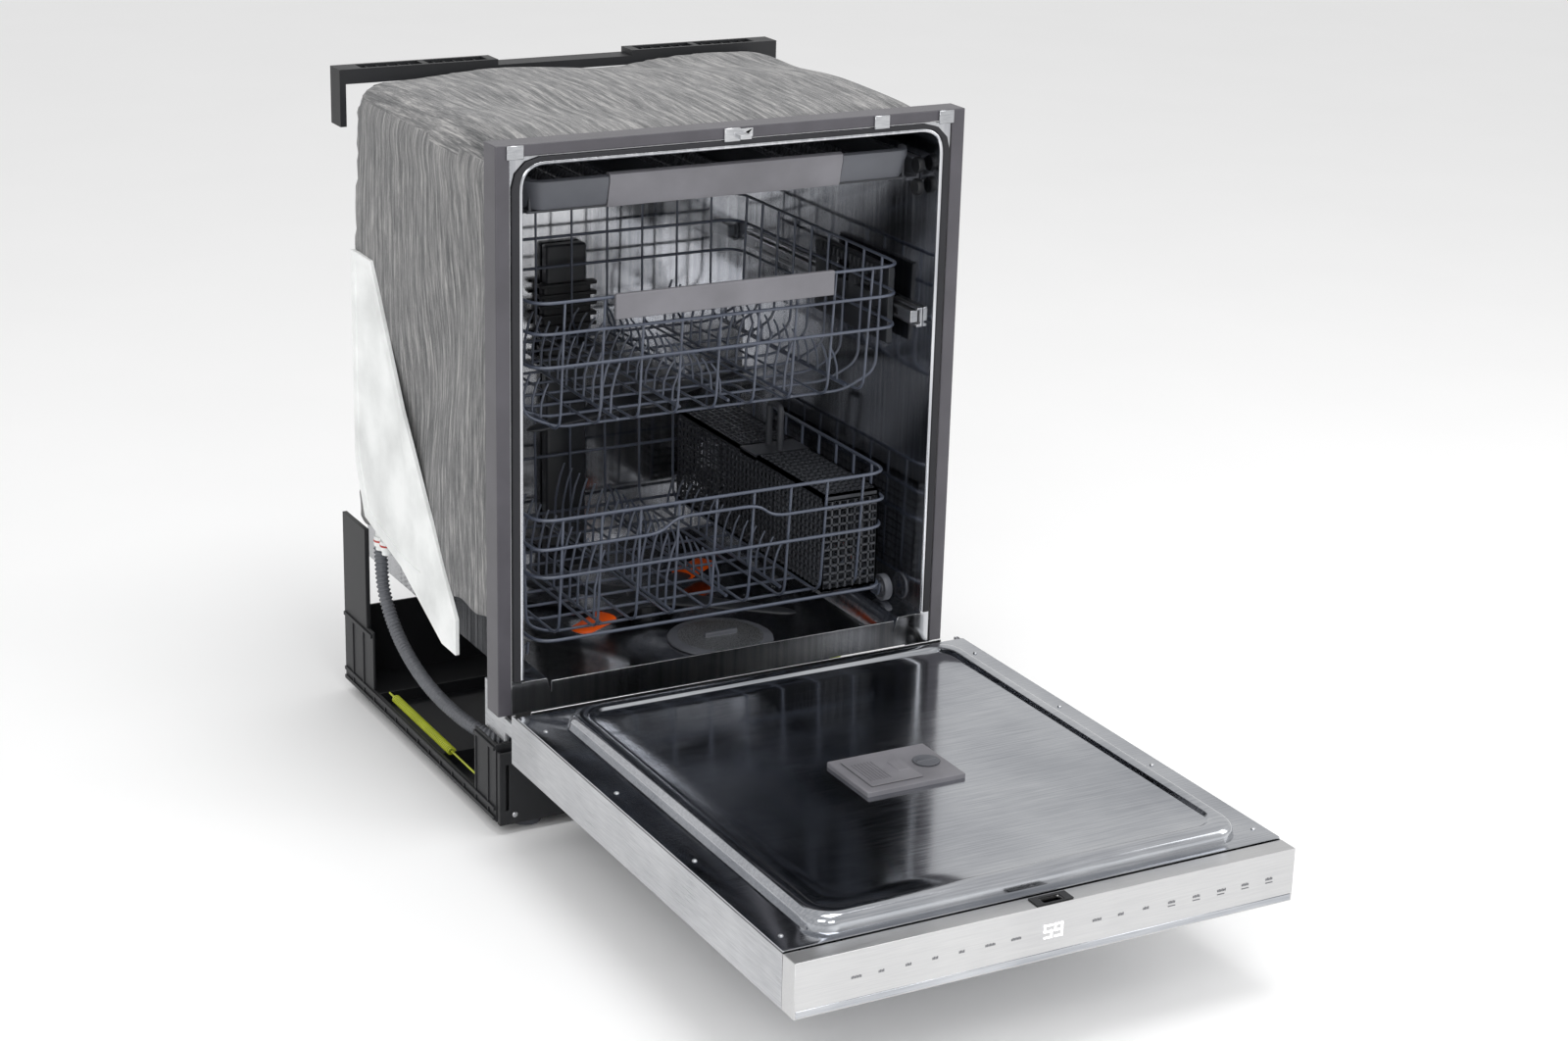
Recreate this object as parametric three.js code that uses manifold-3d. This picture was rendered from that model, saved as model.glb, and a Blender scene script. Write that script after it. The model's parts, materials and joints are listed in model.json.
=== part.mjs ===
// Built-in dishwasher with its door open and its three racks home.
// Millimetres, +Z up. The door hinges at the front (-Y) and the racks slide out along -Y.
import * as THREE from 'three';
import { mergeVertices } from 'three/addons/utils/BufferGeometryUtils.js';
import Module from 'manifold-3d';

const wasm = await Module();
wasm.setup();

// ---- driving sizes ----
const WIDTH = 600;            // over the rear bar and its end brackets
const HEIGHT = 818;           // floor to the top of the rear bar
const BODY_DEPTH = 500;       // tub's front flange to the back of the base
const DOOR_LENGTH = 676;      // hinge line to the door's free edge
const HINGE_Z = 140;          // hinge line above the floor
const HINGE_FORWARD = 34;     // hinge line in front of the tub's front flange
const DOOR_OUTER = 32;        // hinge line to the door's outer skin
const DOOR_INNER = 30;        // hinge line to the door's inner sealing face
const PLUG_RISE = 18;         // how far the door's plug stands above that face
const TUB_HALF = 268;         // inside of the tub's side walls
const SHELL = 2;              // tub and liner wall
const TUB_FLOOR = 158;        // inside floor of the tub
const TUB_TOP = 794;          // inside ceiling of the tub
const TUB_DEPTH = 480;        // inside back wall of the tub
const FELT = 18;              // thickness of the felt blanket
const BASE_TOP = 112;         // top of the base tray's walls
const WALL = 3;               // moulded wall of base, trays and baskets
const WIRE = 4.4;             // coated rack wire
const RACK_FRONT = 28;        // front wires of the racks, behind the tub's front flange
const RACK_BACK = 450;        // back wires of the racks
const UPPER_RIM = 625;
const UPPER_FLOOR = 465;
const LOWER_RIM = 366;
const LOWER_FLOOR = 215;
const WHEEL_RADIUS = 17;

// ---- clearances ----
const SEAT = 0.5;             // between pieces that rest on or in each other
const RUN = 0.6;              // under a wheel and round a turning piece
const REVEAL = 1;             // between panels side by side

// ---- derived sizes ----
const HALF = WIDTH / 2;
const SKIN = HALF - 2;                     // half width of the door and the front frame
const LEDGE = HINGE_Z + DOOR_INNER + PLUG_RISE;   // track level on the plug and on the ledges
const SHIFT_Y = (HINGE_FORWARD + DOOR_LENGTH - BODY_DEPTH) / 2;
const PLUG_TOP = DOOR_INNER + PLUG_RISE;

// ---- solids ----
function solid(geometry) {
  const bare = geometry.index ? geometry.clone() : geometry;
  bare.deleteAttribute('normal');
  bare.deleteAttribute('uv');
  const merged = mergeVertices(bare, 1e-4);
  const at = merged.attributes.position.array;
  const corners = Uint32Array.from(merged.index.array);
  let volume = 0;
  const [a, b, c] = [new THREE.Vector3(), new THREE.Vector3(), new THREE.Vector3()];
  for (let i = 0; i < corners.length; i += 3) {
    a.fromArray(at, 3 * corners[i]);
    b.fromArray(at, 3 * corners[i + 1]);
    c.fromArray(at, 3 * corners[i + 2]);
    volume += a.dot(b.cross(c));
  }
  if (volume < 0) {
    for (let i = 0; i < corners.length; i += 3) {
      [corners[i], corners[i + 1]] = [corners[i + 1], corners[i]];
    }
  }
  return new wasm.Manifold(new wasm.Mesh({
    numProp: 3, vertProperties: Float32Array.from(at), triVerts: corners,
  }));
}

const join = (...parts) => parts.flat().reduce((sum, part) => sum.add(part));
const cut = (body, ...tools) => tools.flat().reduce((rest, tool) => rest.subtract(tool), body);

function box(x0, x1, y0, y1, z0, z1) {
  const size = new THREE.BoxGeometry(Math.abs(x1 - x0), Math.abs(y1 - y0), Math.abs(z1 - z0));
  return solid(size.translate((x0 + x1) / 2, (y0 + y1) / 2, (z0 + z1) / 2));
}

const AXES = {
  x: [[0, 1, 0], [0, 0, 1], [1, 0, 0]],
  y: [[0, 0, 1], [1, 0, 0], [0, 1, 0]],
  z: [[1, 0, 0], [0, 1, 0], [0, 0, 1]],
};

function turned(geometry, axis, start) {
  const basis = AXES[axis].map((v) => new THREE.Vector3(...v));
  geometry.applyMatrix4(new THREE.Matrix4().makeBasis(...basis));
  return solid(geometry.translate(...basis[2].multiplyScalar(start).toArray()));
}

// A prism of the outline between two stations on an axis.
// The outline is (y, z) along x, (x, z) along y and (x, y) along z.
function prism(axis, outline, start, end) {
  const flat = axis === 'y' ? outline.map(([x, z]) => [z, x]) : outline;
  const shape = new THREE.Shape(flat.map((p) => new THREE.Vector2(...p)));
  const depth = Math.abs(end - start);
  const body = new THREE.ExtrudeGeometry(shape, { depth, bevelEnabled: false });
  return turned(body, axis, Math.min(start, end));
}

function circle(u, v, radius, sides, from = 0, to = 2 * Math.PI) {
  const whole = to - from > 6.28;
  const steps = whole ? sides : sides - 1;
  return Array.from({ length: sides }, (_, i) => {
    const angle = from + (to - from) * i / steps;
    return [u + radius * Math.cos(angle), v + radius * Math.sin(angle)];
  });
}

const rod = (axis, u, v, radius, start, end, sides = 16) => (
  prism(axis, circle(u, v, radius, sides), start, end)
);

// A rectangle with its four corners rounded.
function rounded(u0, u1, v0, v1, radius, steps = 4) {
  const corner = (u, v, turn) => circle(u, v, radius, steps, turn, turn + Math.PI / 2);
  return [
    ...corner(u1 - radius, v1 - radius, 0),
    ...corner(u0 + radius, v1 - radius, Math.PI / 2),
    ...corner(u0 + radius, v0 + radius, Math.PI),
    ...corner(u1 - radius, v0 + radius, Math.PI * 1.5),
  ];
}

// A solid of revolution about the vertical line through (x, y); profile is [radius, z].
function revolve(profile, x, y, sides = 20) {
  const points = profile.map((p) => new THREE.Vector2(...p));
  const body = new THREE.LatheGeometry(points, sides);
  return solid(body.rotateX(Math.PI / 2).translate(x, y, 0));
}

// ---- bodies ----
const steel = { color: '#c3c5c8', roughness: 0.32, metalness: 1 };
const brushed = { color: '#b4b5b8', roughness: 0.4, metalness: 1 };
const black = { color: '#17181a', roughness: 0.5, metalness: 0 };
const charcoal = { color: '#35373c', roughness: 0.5, metalness: 0 };
const paleGrey = { color: '#8f8e92', roughness: 0.45, metalness: 0 };
const midGrey = { color: '#6d7076', roughness: 0.5, metalness: 0 };
const coatedWire = { color: '#6b7080', roughness: 0.35, metalness: 0 };
const rubber = { color: '#232326', roughness: 0.8, metalness: 0 };
const felt = { color: '#8d8b88', roughness: 1, metalness: 0 };
const milky = { color: '#e6e7e6', roughness: 0.35, metalness: 0 };

const appliance = new THREE.Group();
appliance.position.y = SHIFT_Y;

function body(y = 0, z = 0) {
  const group = new THREE.Group();
  group.position.set(0, y, z);
  appliance.add(group);
  return group;
}

const cabinet = body();
const door = body(-HINGE_FORWARD, HINGE_Z);   // inside it y is minus the distance from the hinge
const thirdRack = body();
const upperRack = body();
const lowerRack = body();

function piece(group, name, shape, look) {
  const { vertProperties, triVerts } = shape.getMesh();
  const geometry = new THREE.BufferGeometry();
  geometry.setAttribute('position', new THREE.BufferAttribute(vertProperties, 3));
  geometry.setIndex(new THREE.BufferAttribute(triVerts, 1));
  geometry.computeVertexNormals();
  const mesh = new THREE.Mesh(geometry, new THREE.MeshStandardMaterial(look));
  mesh.name = name;
  group.add(mesh);
}

const SIDES = [['left', -1], ['right', 1]];

// ---- base, feet and kick plate ----
const FOOT_X = 250;
const FOOT_Y = 30;
const BASE_BOTTOM = 14;
const baseShell = cut(
  box(-HALF + 3, HALF - 3, 8, BODY_DEPTH, BASE_BOTTOM, BASE_TOP),
  box(-HALF + 6, HALF - 6, 8 + WALL, BODY_DEPTH - WALL, BASE_BOTTOM + WALL, BASE_TOP + 1),
);
const towers = SIDES.map(([, s]) => (
  box(s * (HALF - 9), s * (HALF - 3), 422, BODY_DEPTH, BASE_TOP - 12, 244)
));
const rearFeet = SIDES.map(([, s]) => box(s * 230, s * 280, 435, 485, 0, BASE_BOTTOM + 1));
const ribs = [390, 180].map((y) => box(-HALF + 5, HALF - 5, y, y + WALL, BASE_BOTTOM + 1, 32));
const footHoles = SIDES.map(([, s]) => rod('z', s * FOOT_X, FOOT_Y, 7, BASE_BOTTOM - 1, 20));
// The side walls drop to a low rail between their front posts and their towers.
const notches = SIDES.map(([, s]) => (
  box(s * (HALF - 8), s * (HALF - 2), 70, 400, 34, BASE_TOP + 1)
));
piece(cabinet, 'base_tray', cut(
  join(baseShell, towers, rearFeet, ribs), footHoles, notches,
), black);

for (const [side, s] of SIDES) {
  const stem = [[0, 0], [18, 0], [18, 8], [5, 8], [5, 60], [0, 60]];
  piece(cabinet, `foot_${side}`, revolve(stem, s * FOOT_X, FOOT_Y, 16), midGrey);
}

const kick = join(
  box(-HALF + 4, HALF - 4, -1, 2, 12, BASE_TOP - 8),
  SIDES.map(([, s]) => box(s * (HALF - 7), s * (HALF - 4), 1, 7, 12, BASE_TOP - 8)),
);
const kickSlots = SIDES.map(([, s]) => box(s * 284, s * 288, -2, 3, 30, 88));
piece(cabinet, 'kick_plate', cut(kick, kickSlots), black);

// ---- tub ----
const ARM_Y = 225;
const FILTER_X = 40;
const FILTER_Y = 95;
function tubOutline(grow) {
  const half = TUB_HALF + grow;
  const top = TUB_TOP + grow;
  const ledge = LEDGE - grow;
  const radius = 30 + grow;
  return [
    ...circle(half - radius, top - radius, radius, 5, 0, Math.PI / 2),
    ...circle(-half + radius, top - radius, radius, 5, Math.PI / 2, Math.PI),
    [-half, ledge],
    [-236 - grow * 0.5, ledge],
    [-226 - grow * 0.5, TUB_FLOOR - grow],
    [226 + grow * 0.5, TUB_FLOOR - grow],
    [236 + grow * 0.5, ledge],
    [half, ledge],
  ];
}
const FLANGE_HALF = TUB_HALF + 12;
const FLANGE_TOP = TUB_TOP + 8;
const SILL = LEDGE - 4;
const tubShell = cut(
  join(
    prism('y', tubOutline(SHELL), 1, TUB_DEPTH + SHELL),
    box(-FLANGE_HALF, FLANGE_HALF, 0, SHELL, TUB_FLOOR - 8, FLANGE_TOP),
  ),
  prism('y', tubOutline(0), SHELL, TUB_DEPTH),
  cut(prism('y', tubOutline(0), -1, SHELL + 1), box(-230, 230, -2, 4, 150, SILL)),
  rod('z', 0, ARM_Y, 26, TUB_FLOOR - 5, TUB_FLOOR + 2, 20),
  rod('z', FILTER_X, FILTER_Y, 58, TUB_FLOOR - 5, TUB_FLOOR + 2, 28),
);
piece(cabinet, 'tub', tubShell, steel);

const gasketOuter = rounded(-FLANGE_HALF + 1, FLANGE_HALF - 1, 120, FLANGE_TOP - 1, 34);
const gasketInner = rounded(-TUB_HALF - 2, TUB_HALF + 2, 110, TUB_TOP + 2, 26);
const gasket = cut(
  prism('y', gasketOuter, -3.5, -0.4),
  prism('y', gasketInner, -5, 1),
  box(-HALF, HALF, -5, 1, 100, LEDGE + 2),
);
// The two legs of the gasket hang from its top run.
piece(cabinet, 'tub_gasket', gasket, rubber);

const FRAME_BOTTOM = 150;
const frontFrame = cut(
  box(-SKIN, SKIN, -2, 30, FRAME_BOTTOM, HEIGHT - 2),
  box(-FLANGE_HALF - 1, FLANGE_HALF + 1, -3, 31, FRAME_BOTTOM - 1, FLANGE_TOP + 1),
  box(-SKIN + SHELL, SKIN - SHELL, 0, 31, FRAME_BOTTOM - 1, HEIGHT - 2 - SHELL),
);
piece(cabinet, 'front_frame', frontFrame, { color: '#55535a', roughness: 0.45, metalness: 0 });

const FELT_IN = TUB_HALF + SHELL + 2;
const FELT_LOW = 250;
const FELT_BACK = TUB_DEPTH - 20;
const blanket = cut(
  prism('y', rounded(-FELT_IN - FELT, FELT_IN + FELT, 100, TUB_TOP + SHELL + 2 + 15, 34), 34, FELT_BACK),
  prism('y', rounded(-FELT_IN, FELT_IN, 90, TUB_TOP + SHELL + 2, 26), 30, FELT_BACK + 4),
  box(-HALF, HALF, 30, FELT_BACK + 4, 80, FELT_LOW),
);
piece(cabinet, 'felt_blanket', blanket, felt);

const BAR_BACK = BODY_DEPTH - 2;
const BAR_FRONT = BODY_DEPTH - 34;
const rearBar = cut(
  join(
    box(-HALF + 6, HALF - 6, BAR_FRONT, BAR_BACK, HEIGHT - 18, HEIGHT),
    SIDES.map(([, s]) => box(s * (HALF - 8), s * HALF, BAR_FRONT, BAR_BACK, HEIGHT - 70, HEIGHT)),
  ),
  SIDES.flatMap(([, s]) => [[190, 270], [104, 182]].map(([a, b]) => (
    box(s * a, s * b, BAR_FRONT + 5, BAR_BACK - 5, HEIGHT - 12, HEIGHT + 1)
  ))),
  box(-92, 92, BAR_FRONT - 4, BODY_DEPTH, HEIGHT - 7, HEIGHT + 1),
);
piece(cabinet, 'rear_top_bar', rearBar, black);

const airOutline = [
  [450, 600], [450, 330], [420, 262], [300, 235], [170, 180], [127, 180], [127, 225],
  [290, 440], [385, 600],
];
const airChannel = [
  [437, 588], [437, 340], [408, 276], [300, 250], [235, 248], [305, 440], [392, 588],
];
const airBreak = cut(
  prism('x', airOutline, -HALF + 3, -HALF + 8.5),
  prism('x', airChannel, -HALF + 2, -HALF + 4.5),
);
piece(cabinet, 'air_break', airBreak, milky);

const hosePath = new THREE.CatmullRomCurve3([
  [-280, 412, 222], [-280, 398, 160], [-280, 335, 112], [-278, 235, 86], [-262, 135, 74],
  [-225, 108, 70],
].map((p) => new THREE.Vector3(...p)));
const hoseRing = new THREE.Shape(circle(0, 0, 9, 8).map((p) => new THREE.Vector2(...p)));
const hoseBody = new THREE.ExtrudeGeometry(hoseRing, { steps: 15, extrudePath: hosePath });
piece(cabinet, 'drain_hose', solid(hoseBody), midGrey);

// ---- hinges and door springs ----
const PIN = 5;
const BRACKET_IN = 284;
const BRACKET_OUT = 288;
const bracketOutline = [
  ...circle(-HINGE_FORWARD, HINGE_Z, 14, 9, Math.PI * 0.3, Math.PI * 1.7),
  [4, HINGE_Z - 12], [4, BASE_TOP + 4], [60, BASE_TOP + 4], [60, 176], [4, 176],
  [4, HINGE_Z + 6], [-18, HINGE_Z + 6],
];
for (const [side, s] of SIDES) {
  const plate = prism('x', bracketOutline, s * BRACKET_IN, s * BRACKET_OUT);
  const pin = rod('x', -HINGE_FORWARD, HINGE_Z, PIN, s * 276, s * (BRACKET_IN + 1));
  piece(cabinet, `hinge_bracket_${side}`, join(plate, pin), brushed);
}

for (const [side, s] of SIDES) {
  const profile = [[0, 0], [2, 0], [2, 20]];
  for (let coil = 0; coil < 6; coil += 1) {
    profile.push([6, 26 + coil * 30], [4, 41 + coil * 30]);
  }
  profile.push([2, 212], [2, 300], [0, 300]);
  const points = profile.map((p) => new THREE.Vector2(...p));
  const coils = new THREE.LatheGeometry(points, 6).rotateX(Math.PI).translate(s * 287, 370, 40);
  piece(cabinet, `door_spring_${side}`, solid(coils), { color: '#b9c22e', roughness: 0.4, metalness: 0 });
}

const striker = join(
  box(-16, 16, -3.8, -2.3, HEIGHT - 14, HEIGHT - 4),
  box(-7, 7, -18, -3, HEIGHT - 13.5, HEIGHT - 8.5),
);
piece(cabinet, 'latch_striker', striker, brushed);

// ---- water path in the tub and under it ----
const DUCT_HALF = 28;
const FEED_Z = UPPER_FLOOR - 23;      // underside of the upper arm's feed tube
const duct = join(
  box(-DUCT_HALF, DUCT_HALF, TUB_DEPTH - 18, TUB_DEPTH - SEAT, TUB_FLOOR + SEAT, 575),
  box(-DUCT_HALF, DUCT_HALF, 385, TUB_DEPTH - 8, TUB_FLOOR + SEAT, 169),
  box(-DUCT_HALF + 8, DUCT_HALF - 8, TUB_DEPTH - 24, TUB_DEPTH - 14, FEED_Z - 2, FEED_Z + 23),
);
piece(cabinet, 'feed_duct', duct, charcoal);

const CUP = 54;
const sump = cut(
  join(
    rod('z', FILTER_X, FILTER_Y, CUP + 12, 74, TUB_FLOOR - SHELL - SEAT, 24),
    rod('z', 0, ARM_Y, 50, 88, TUB_FLOOR - SHELL - SEAT, 20),
    rod('z', 0, ARM_Y, 20, 150, 168, 20),
    box(-20, 120, 150, 200, 90, 140),
  ),
  rod('z', FILTER_X, FILTER_Y, CUP, 80, 170, 24),
);
piece(cabinet, 'sump', sump, black);

const filter = join(
  revolve([[0, 84], [48, 84], [48, 150], [50, 158.5], [66, 158.5], [66, 161], [56, 163], [0, 163]],
    FILTER_X, FILTER_Y, 24),
  box(FILTER_X - 22, FILTER_X + 22, FILTER_Y - 3, FILTER_Y + 3, 161, 169),
);
piece(cabinet, 'filter_cartridge', filter, midGrey);

const pump = join(
  rod('x', 300, 66, 42, 122, 258, 20),
  rod('x', 300, 66, 46, 100, 124, 20),
  box(140, 220, 280, 320, 18, 40),
);
piece(cabinet, 'wash_pump', pump, black);

// ---- rails on the tub walls ----
const RAIL_Z = 560;
const RAIL_BACK = TUB_DEPTH - 18;
const THIRD_Z = 724;          // underside of the third rack's rails
for (const [side, s] of SIDES) {
  const rail = cut(
    box(s * 260, s * (TUB_HALF - SEAT), 24, RAIL_BACK, RAIL_Z - 12, RAIL_Z + 12),
    box(s * 258, s * 265.5, 20, RAIL_BACK + 4, RAIL_Z - 9, RAIL_Z + 9),
  );
  piece(cabinet, `upper_rail_${side}`, rail, brushed);
  const slide = cut(
    box(s * 254.5, s * 264.5, 30, RAIL_BACK - 5, RAIL_Z - 7.5, RAIL_Z + 7.5),
    box(s * 254, s * 257, 60, RAIL_BACK - 35, RAIL_Z - 4, RAIL_Z + 4),
  );
  piece(cabinet, `rail_slide_${side}`, slide, brushed);
  const shelf = join(
    box(s * 250, s * (TUB_HALF - SEAT), 44, RAIL_BACK, THIRD_Z, THIRD_Z + 4),
    box(s * 264, s * (TUB_HALF - SEAT), 44, RAIL_BACK, THIRD_Z, THIRD_Z + 28),
    box(s * 256, s * (TUB_HALF - SEAT), 44, RAIL_BACK, THIRD_Z + 25, THIRD_Z + 28),
  );
  piece(cabinet, `third_rail_${side}`, shelf, midGrey);
}

// ---- door; s is the distance out from the hinge line, t the height above it ----
const slab = (x0, x1, s0, s1, t0, t1) => box(x0, x1, -s1, -s0, t0, t1);
const STRIP_START = DOOR_LENGTH - 24;
const LINER_START = 20;
const skin = cut(
  slab(-SKIN, SKIN, 6, STRIP_START - REVEAL, -DOOR_OUTER, DOOR_INNER - SHELL - SEAT),
  slab(-SKIN + 1.2, SKIN - 1.2, 7.2, STRIP_START + 1, -DOOR_OUTER + 1.2, DOOR_INNER + 1),
  SIDES.map(([, s]) => slab(s * 274, s * 293, 4, 16, -DOOR_OUTER + 3, DOOR_INNER)),
);
piece(door, 'door_panel', skin, brushed);

const PLUG_HALF = 258;
const PLUG_START = 52;
const PLUG_END = DOOR_LENGTH - 36;
const DISPENSER_S = 360;
const plug = (inset, t0, t1) => prism('z', rounded(
  -PLUG_HALF + inset, PLUG_HALF - inset, -PLUG_END + inset, -PLUG_START - inset, 30 - inset,
), t0, t1);
const liner = cut(
  join(
    slab(-SKIN, SKIN, LINER_START, STRIP_START - REVEAL, DOOR_INNER - SHELL, DOOR_INNER),
    plug(0, DOOR_INNER - 1, PLUG_TOP),
    SIDES.map(([, s]) => slab(s * (SKIN - 4.2), s * (SKIN - 2.2), LINER_START, DOOR_LENGTH - 28, 8, 29)),
  ),
  plug(SHELL, DOOR_INNER - SHELL - 1, PLUG_TOP - SHELL),
  slab(-62, 62, DISPENSER_S - 46, DISPENSER_S + 46, 40, PLUG_TOP + 1),
);
piece(door, 'door_liner', liner, steel);

const strip = cut(
  slab(-SKIN, SKIN, STRIP_START, DOOR_LENGTH, -DOOR_OUTER, DOOR_INNER - 2),
  slab(-SKIN + WALL, SKIN - WALL, STRIP_START - 1, DOOR_LENGTH - WALL, -DOOR_OUTER + WALL, 25),
  slab(-12, 12, DOOR_LENGTH - 16, DOOR_LENGTH - 4, 20, DOOR_INNER),
);
piece(door, 'control_strip', strip, { color: '#c9c9c9', roughness: 0.35, metalness: 1 });

const latch = cut(
  slab(-22, 22, DOOR_LENGTH - 20, DOOR_LENGTH - 2, DOOR_INNER - 1.6, DOOR_INNER - 0.5),
  slab(-12, 12, DOOR_LENGTH - 16, DOOR_LENGTH - 4, DOOR_INNER - 3, DOOR_INNER + 1),
);
piece(door, 'door_latch', latch, black);

const dispenser = cut(
  slab(-61, 61, DISPENSER_S - 45, DISPENSER_S + 45, 18, PLUG_TOP + 1),
  slab(-46, 12, DISPENSER_S - 30, DISPENSER_S + 30, 28, PLUG_TOP + 2),
);
piece(door, 'dispenser', dispenser, paleGrey);
const lid = join(
  slab(-50, 14, DISPENSER_S - 34, DISPENSER_S + 34, PLUG_TOP + 1.4, PLUG_TOP + 2.6),
  slab(-4, 8, DISPENSER_S - 12, DISPENSER_S + 12, PLUG_TOP + 2, PLUG_TOP + 3.6),
);
piece(door, 'detergent_lid', lid, paleGrey);
const CAP_X = 38;
const cap = join(
  rod('z', CAP_X, -DISPENSER_S, 15, PLUG_TOP + 1.4, PLUG_TOP + 3, 16),
  box(CAP_X - 12, CAP_X + 12, -DISPENSER_S - 2, -DISPENSER_S + 2, PLUG_TOP + 2.5, PLUG_TOP + 4),
);
piece(door, 'rinse_cap', cap, midGrey);

const armOutline = [
  ...circle(0, 0, 12, 9, -Math.PI / 2, Math.PI / 2).map(([y, z]) => [y, z]),
  [-200, 12], [-200, -4], [-60, -12],
];
for (const [side, s] of SIDES) {
  const arm = cut(
    prism('x', armOutline, s * 279, s * 282),
    rod('x', 0, 0, PIN + 0.4, s * 270, s * 290),
  );
  piece(door, `hinge_arm_${side}`, arm, black);
}

// ---- racks ----
const half = WIRE / 2;
const barX = (x0, x1, y, z, h = half) => box(x0, x1, y - h, y + h, z - h, z + h);
const barY = (x, y0, y1, z, h = half) => box(x - h, x + h, y0, y1, z - h, z + h);
const barZ = (x, y, z0, z1, h = half) => box(x - h, x + h, y - h, y + h, z0, z1);
const spread = (from, to, count) => Array.from({ length: count }, (_, i) => (
  from + (to - from) * i / (count - 1)
));

function wireBasket(reach, front, back, floor, rims) {
  const top = rims[0] + half * 0.5;
  const fine = half * 0.85;
  const finer = half * 0.7;
  const wires = [];
  for (const z of [floor, ...rims]) {
    wires.push(barX(-reach - half, reach + half, front, z), barX(-reach - half, reach + half, back, z));
    wires.push(barY(-reach, front, back, z), barY(reach, front, back, z));
  }
  for (const x of spread(-reach * 0.8, reach * 0.8, 6)) {
    wires.push(barY(x, front, back, floor, finer));
    wires.push(barZ(x, front, floor, top, fine), barZ(x, back, floor, top, fine));
  }
  for (const y of spread(front + 60, back - 60, 5)) {
    wires.push(barX(-reach, reach, y, floor, fine));
    wires.push(barZ(-reach, y, floor, top, finer), barZ(reach, y, floor, top, finer));
  }
  return wires;
}

function tineRow(x, floor, reach, count) {
  const z = floor + WIRE + REVEAL;
  return join(
    barY(x, RACK_FRONT + 30, RACK_BACK - 30, z),
    spread(RACK_FRONT + 50, RACK_BACK - 50, count).map((y) => barZ(x, y, z, z + reach, half * 0.8)),
  );
}

// Third rack: a moulded tray with a lattice floor, carried by a runner along each side.
const TRAY_HALF = 245;
const TRAY_FRONT = 34;
const TRAY_BACK = 400;
const slots = [];
for (const x of [-200, -120, -38, 38, 120, 200]) {
  for (const y of spread(78, TRAY_BACK - 44, 5)) {
    slots.push(box(x - 28, x + 28, y - 30, y + 30, THIRD_Z, THIRD_Z + 10));
  }
}
const tray = cut(
  join(
    cut(
      box(-TRAY_HALF, TRAY_HALF, TRAY_FRONT, TRAY_BACK, THIRD_Z + 4, THIRD_Z + 36),
      box(
        -TRAY_HALF + WALL, TRAY_HALF - WALL, TRAY_FRONT + WALL, TRAY_BACK - WALL,
        THIRD_Z + 7, THIRD_Z + 37,
      ),
    ),
    SIDES.flatMap(([, s]) => [
      box(s * 72, s * 75, TRAY_FRONT + 1, TRAY_BACK - 1, THIRD_Z + 5, THIRD_Z + 40),
      box(s * 150, s * 249, 24, 35, THIRD_Z + 8, THIRD_Z + 42),
      box(s * 243, s * 262, 60, TRAY_BACK - 10, THIRD_Z + 5, THIRD_Z + 9),
    ]),
  ),
  slots,
  prism('y', [
    [-62, THIRD_Z + 38], [-40, THIRD_Z + 14], [40, THIRD_Z + 14], [62, THIRD_Z + 38],
  ], TRAY_BACK - 6, TRAY_BACK + 4),
);
piece(thirdRack, 'third_tray', tray, charcoal);
piece(thirdRack, 'third_trim', cut(
  box(-149, 149, 22, TRAY_FRONT - SEAT, THIRD_Z + 6, THIRD_Z + 46),
  box(-145, 145, 26, TRAY_FRONT + 1, THIRD_Z + 10, THIRD_Z + 42),
), paleGrey);

// Upper rack: wire basket on two adjusters, with its own spray arm under it.
const UPPER_REACH = 240;
piece(upperRack, 'upper_basket', join(
  wireBasket(UPPER_REACH, RACK_FRONT, RACK_BACK, UPPER_FLOOR, [UPPER_RIM, 550]),
), coatedWire);
const bow = cut(
  box(-142, 142, 19, RACK_FRONT - half - SEAT, UPPER_RIM - 24, UPPER_RIM + 6),
  box(-134, 134, 22, RACK_FRONT, UPPER_RIM - 19, UPPER_RIM + 1),
);
piece(upperRack, 'upper_handle', bow, paleGrey);
for (const [side, s] of SIDES) {
  const plate = cut(
    join(
      box(s * 246, s * 254, 70, 250, RAIL_Z - 42, RAIL_Z + 52),
      [95, 225].map((y) => box(s * 242.8, s * 247, y - 10, y + 10, RAIL_Z - 30, RAIL_Z + 40)),
    ),
    [110, 168].map((y) => box(s * 240, s * 256, y, y + 42, RAIL_Z + 12, RAIL_Z + 38)),
  );
  piece(upperRack, `adjuster_${side}`, plate, side === 'left' ? midGrey : charcoal);
}
const UPPER_ARM_Y = 235;
piece(upperRack, 'upper_spray_feed', join(
  box(-10, 10, UPPER_ARM_Y, TUB_DEPTH - 33, FEED_Z + 2, FEED_Z + 16),
  box(-18, 18, TUB_DEPTH - 42, TUB_DEPTH - 26, FEED_Z, FEED_Z + 19),
  rod('z', 0, UPPER_ARM_Y, 18, FEED_Z, FEED_Z + 18, 20),
), charcoal);

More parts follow.
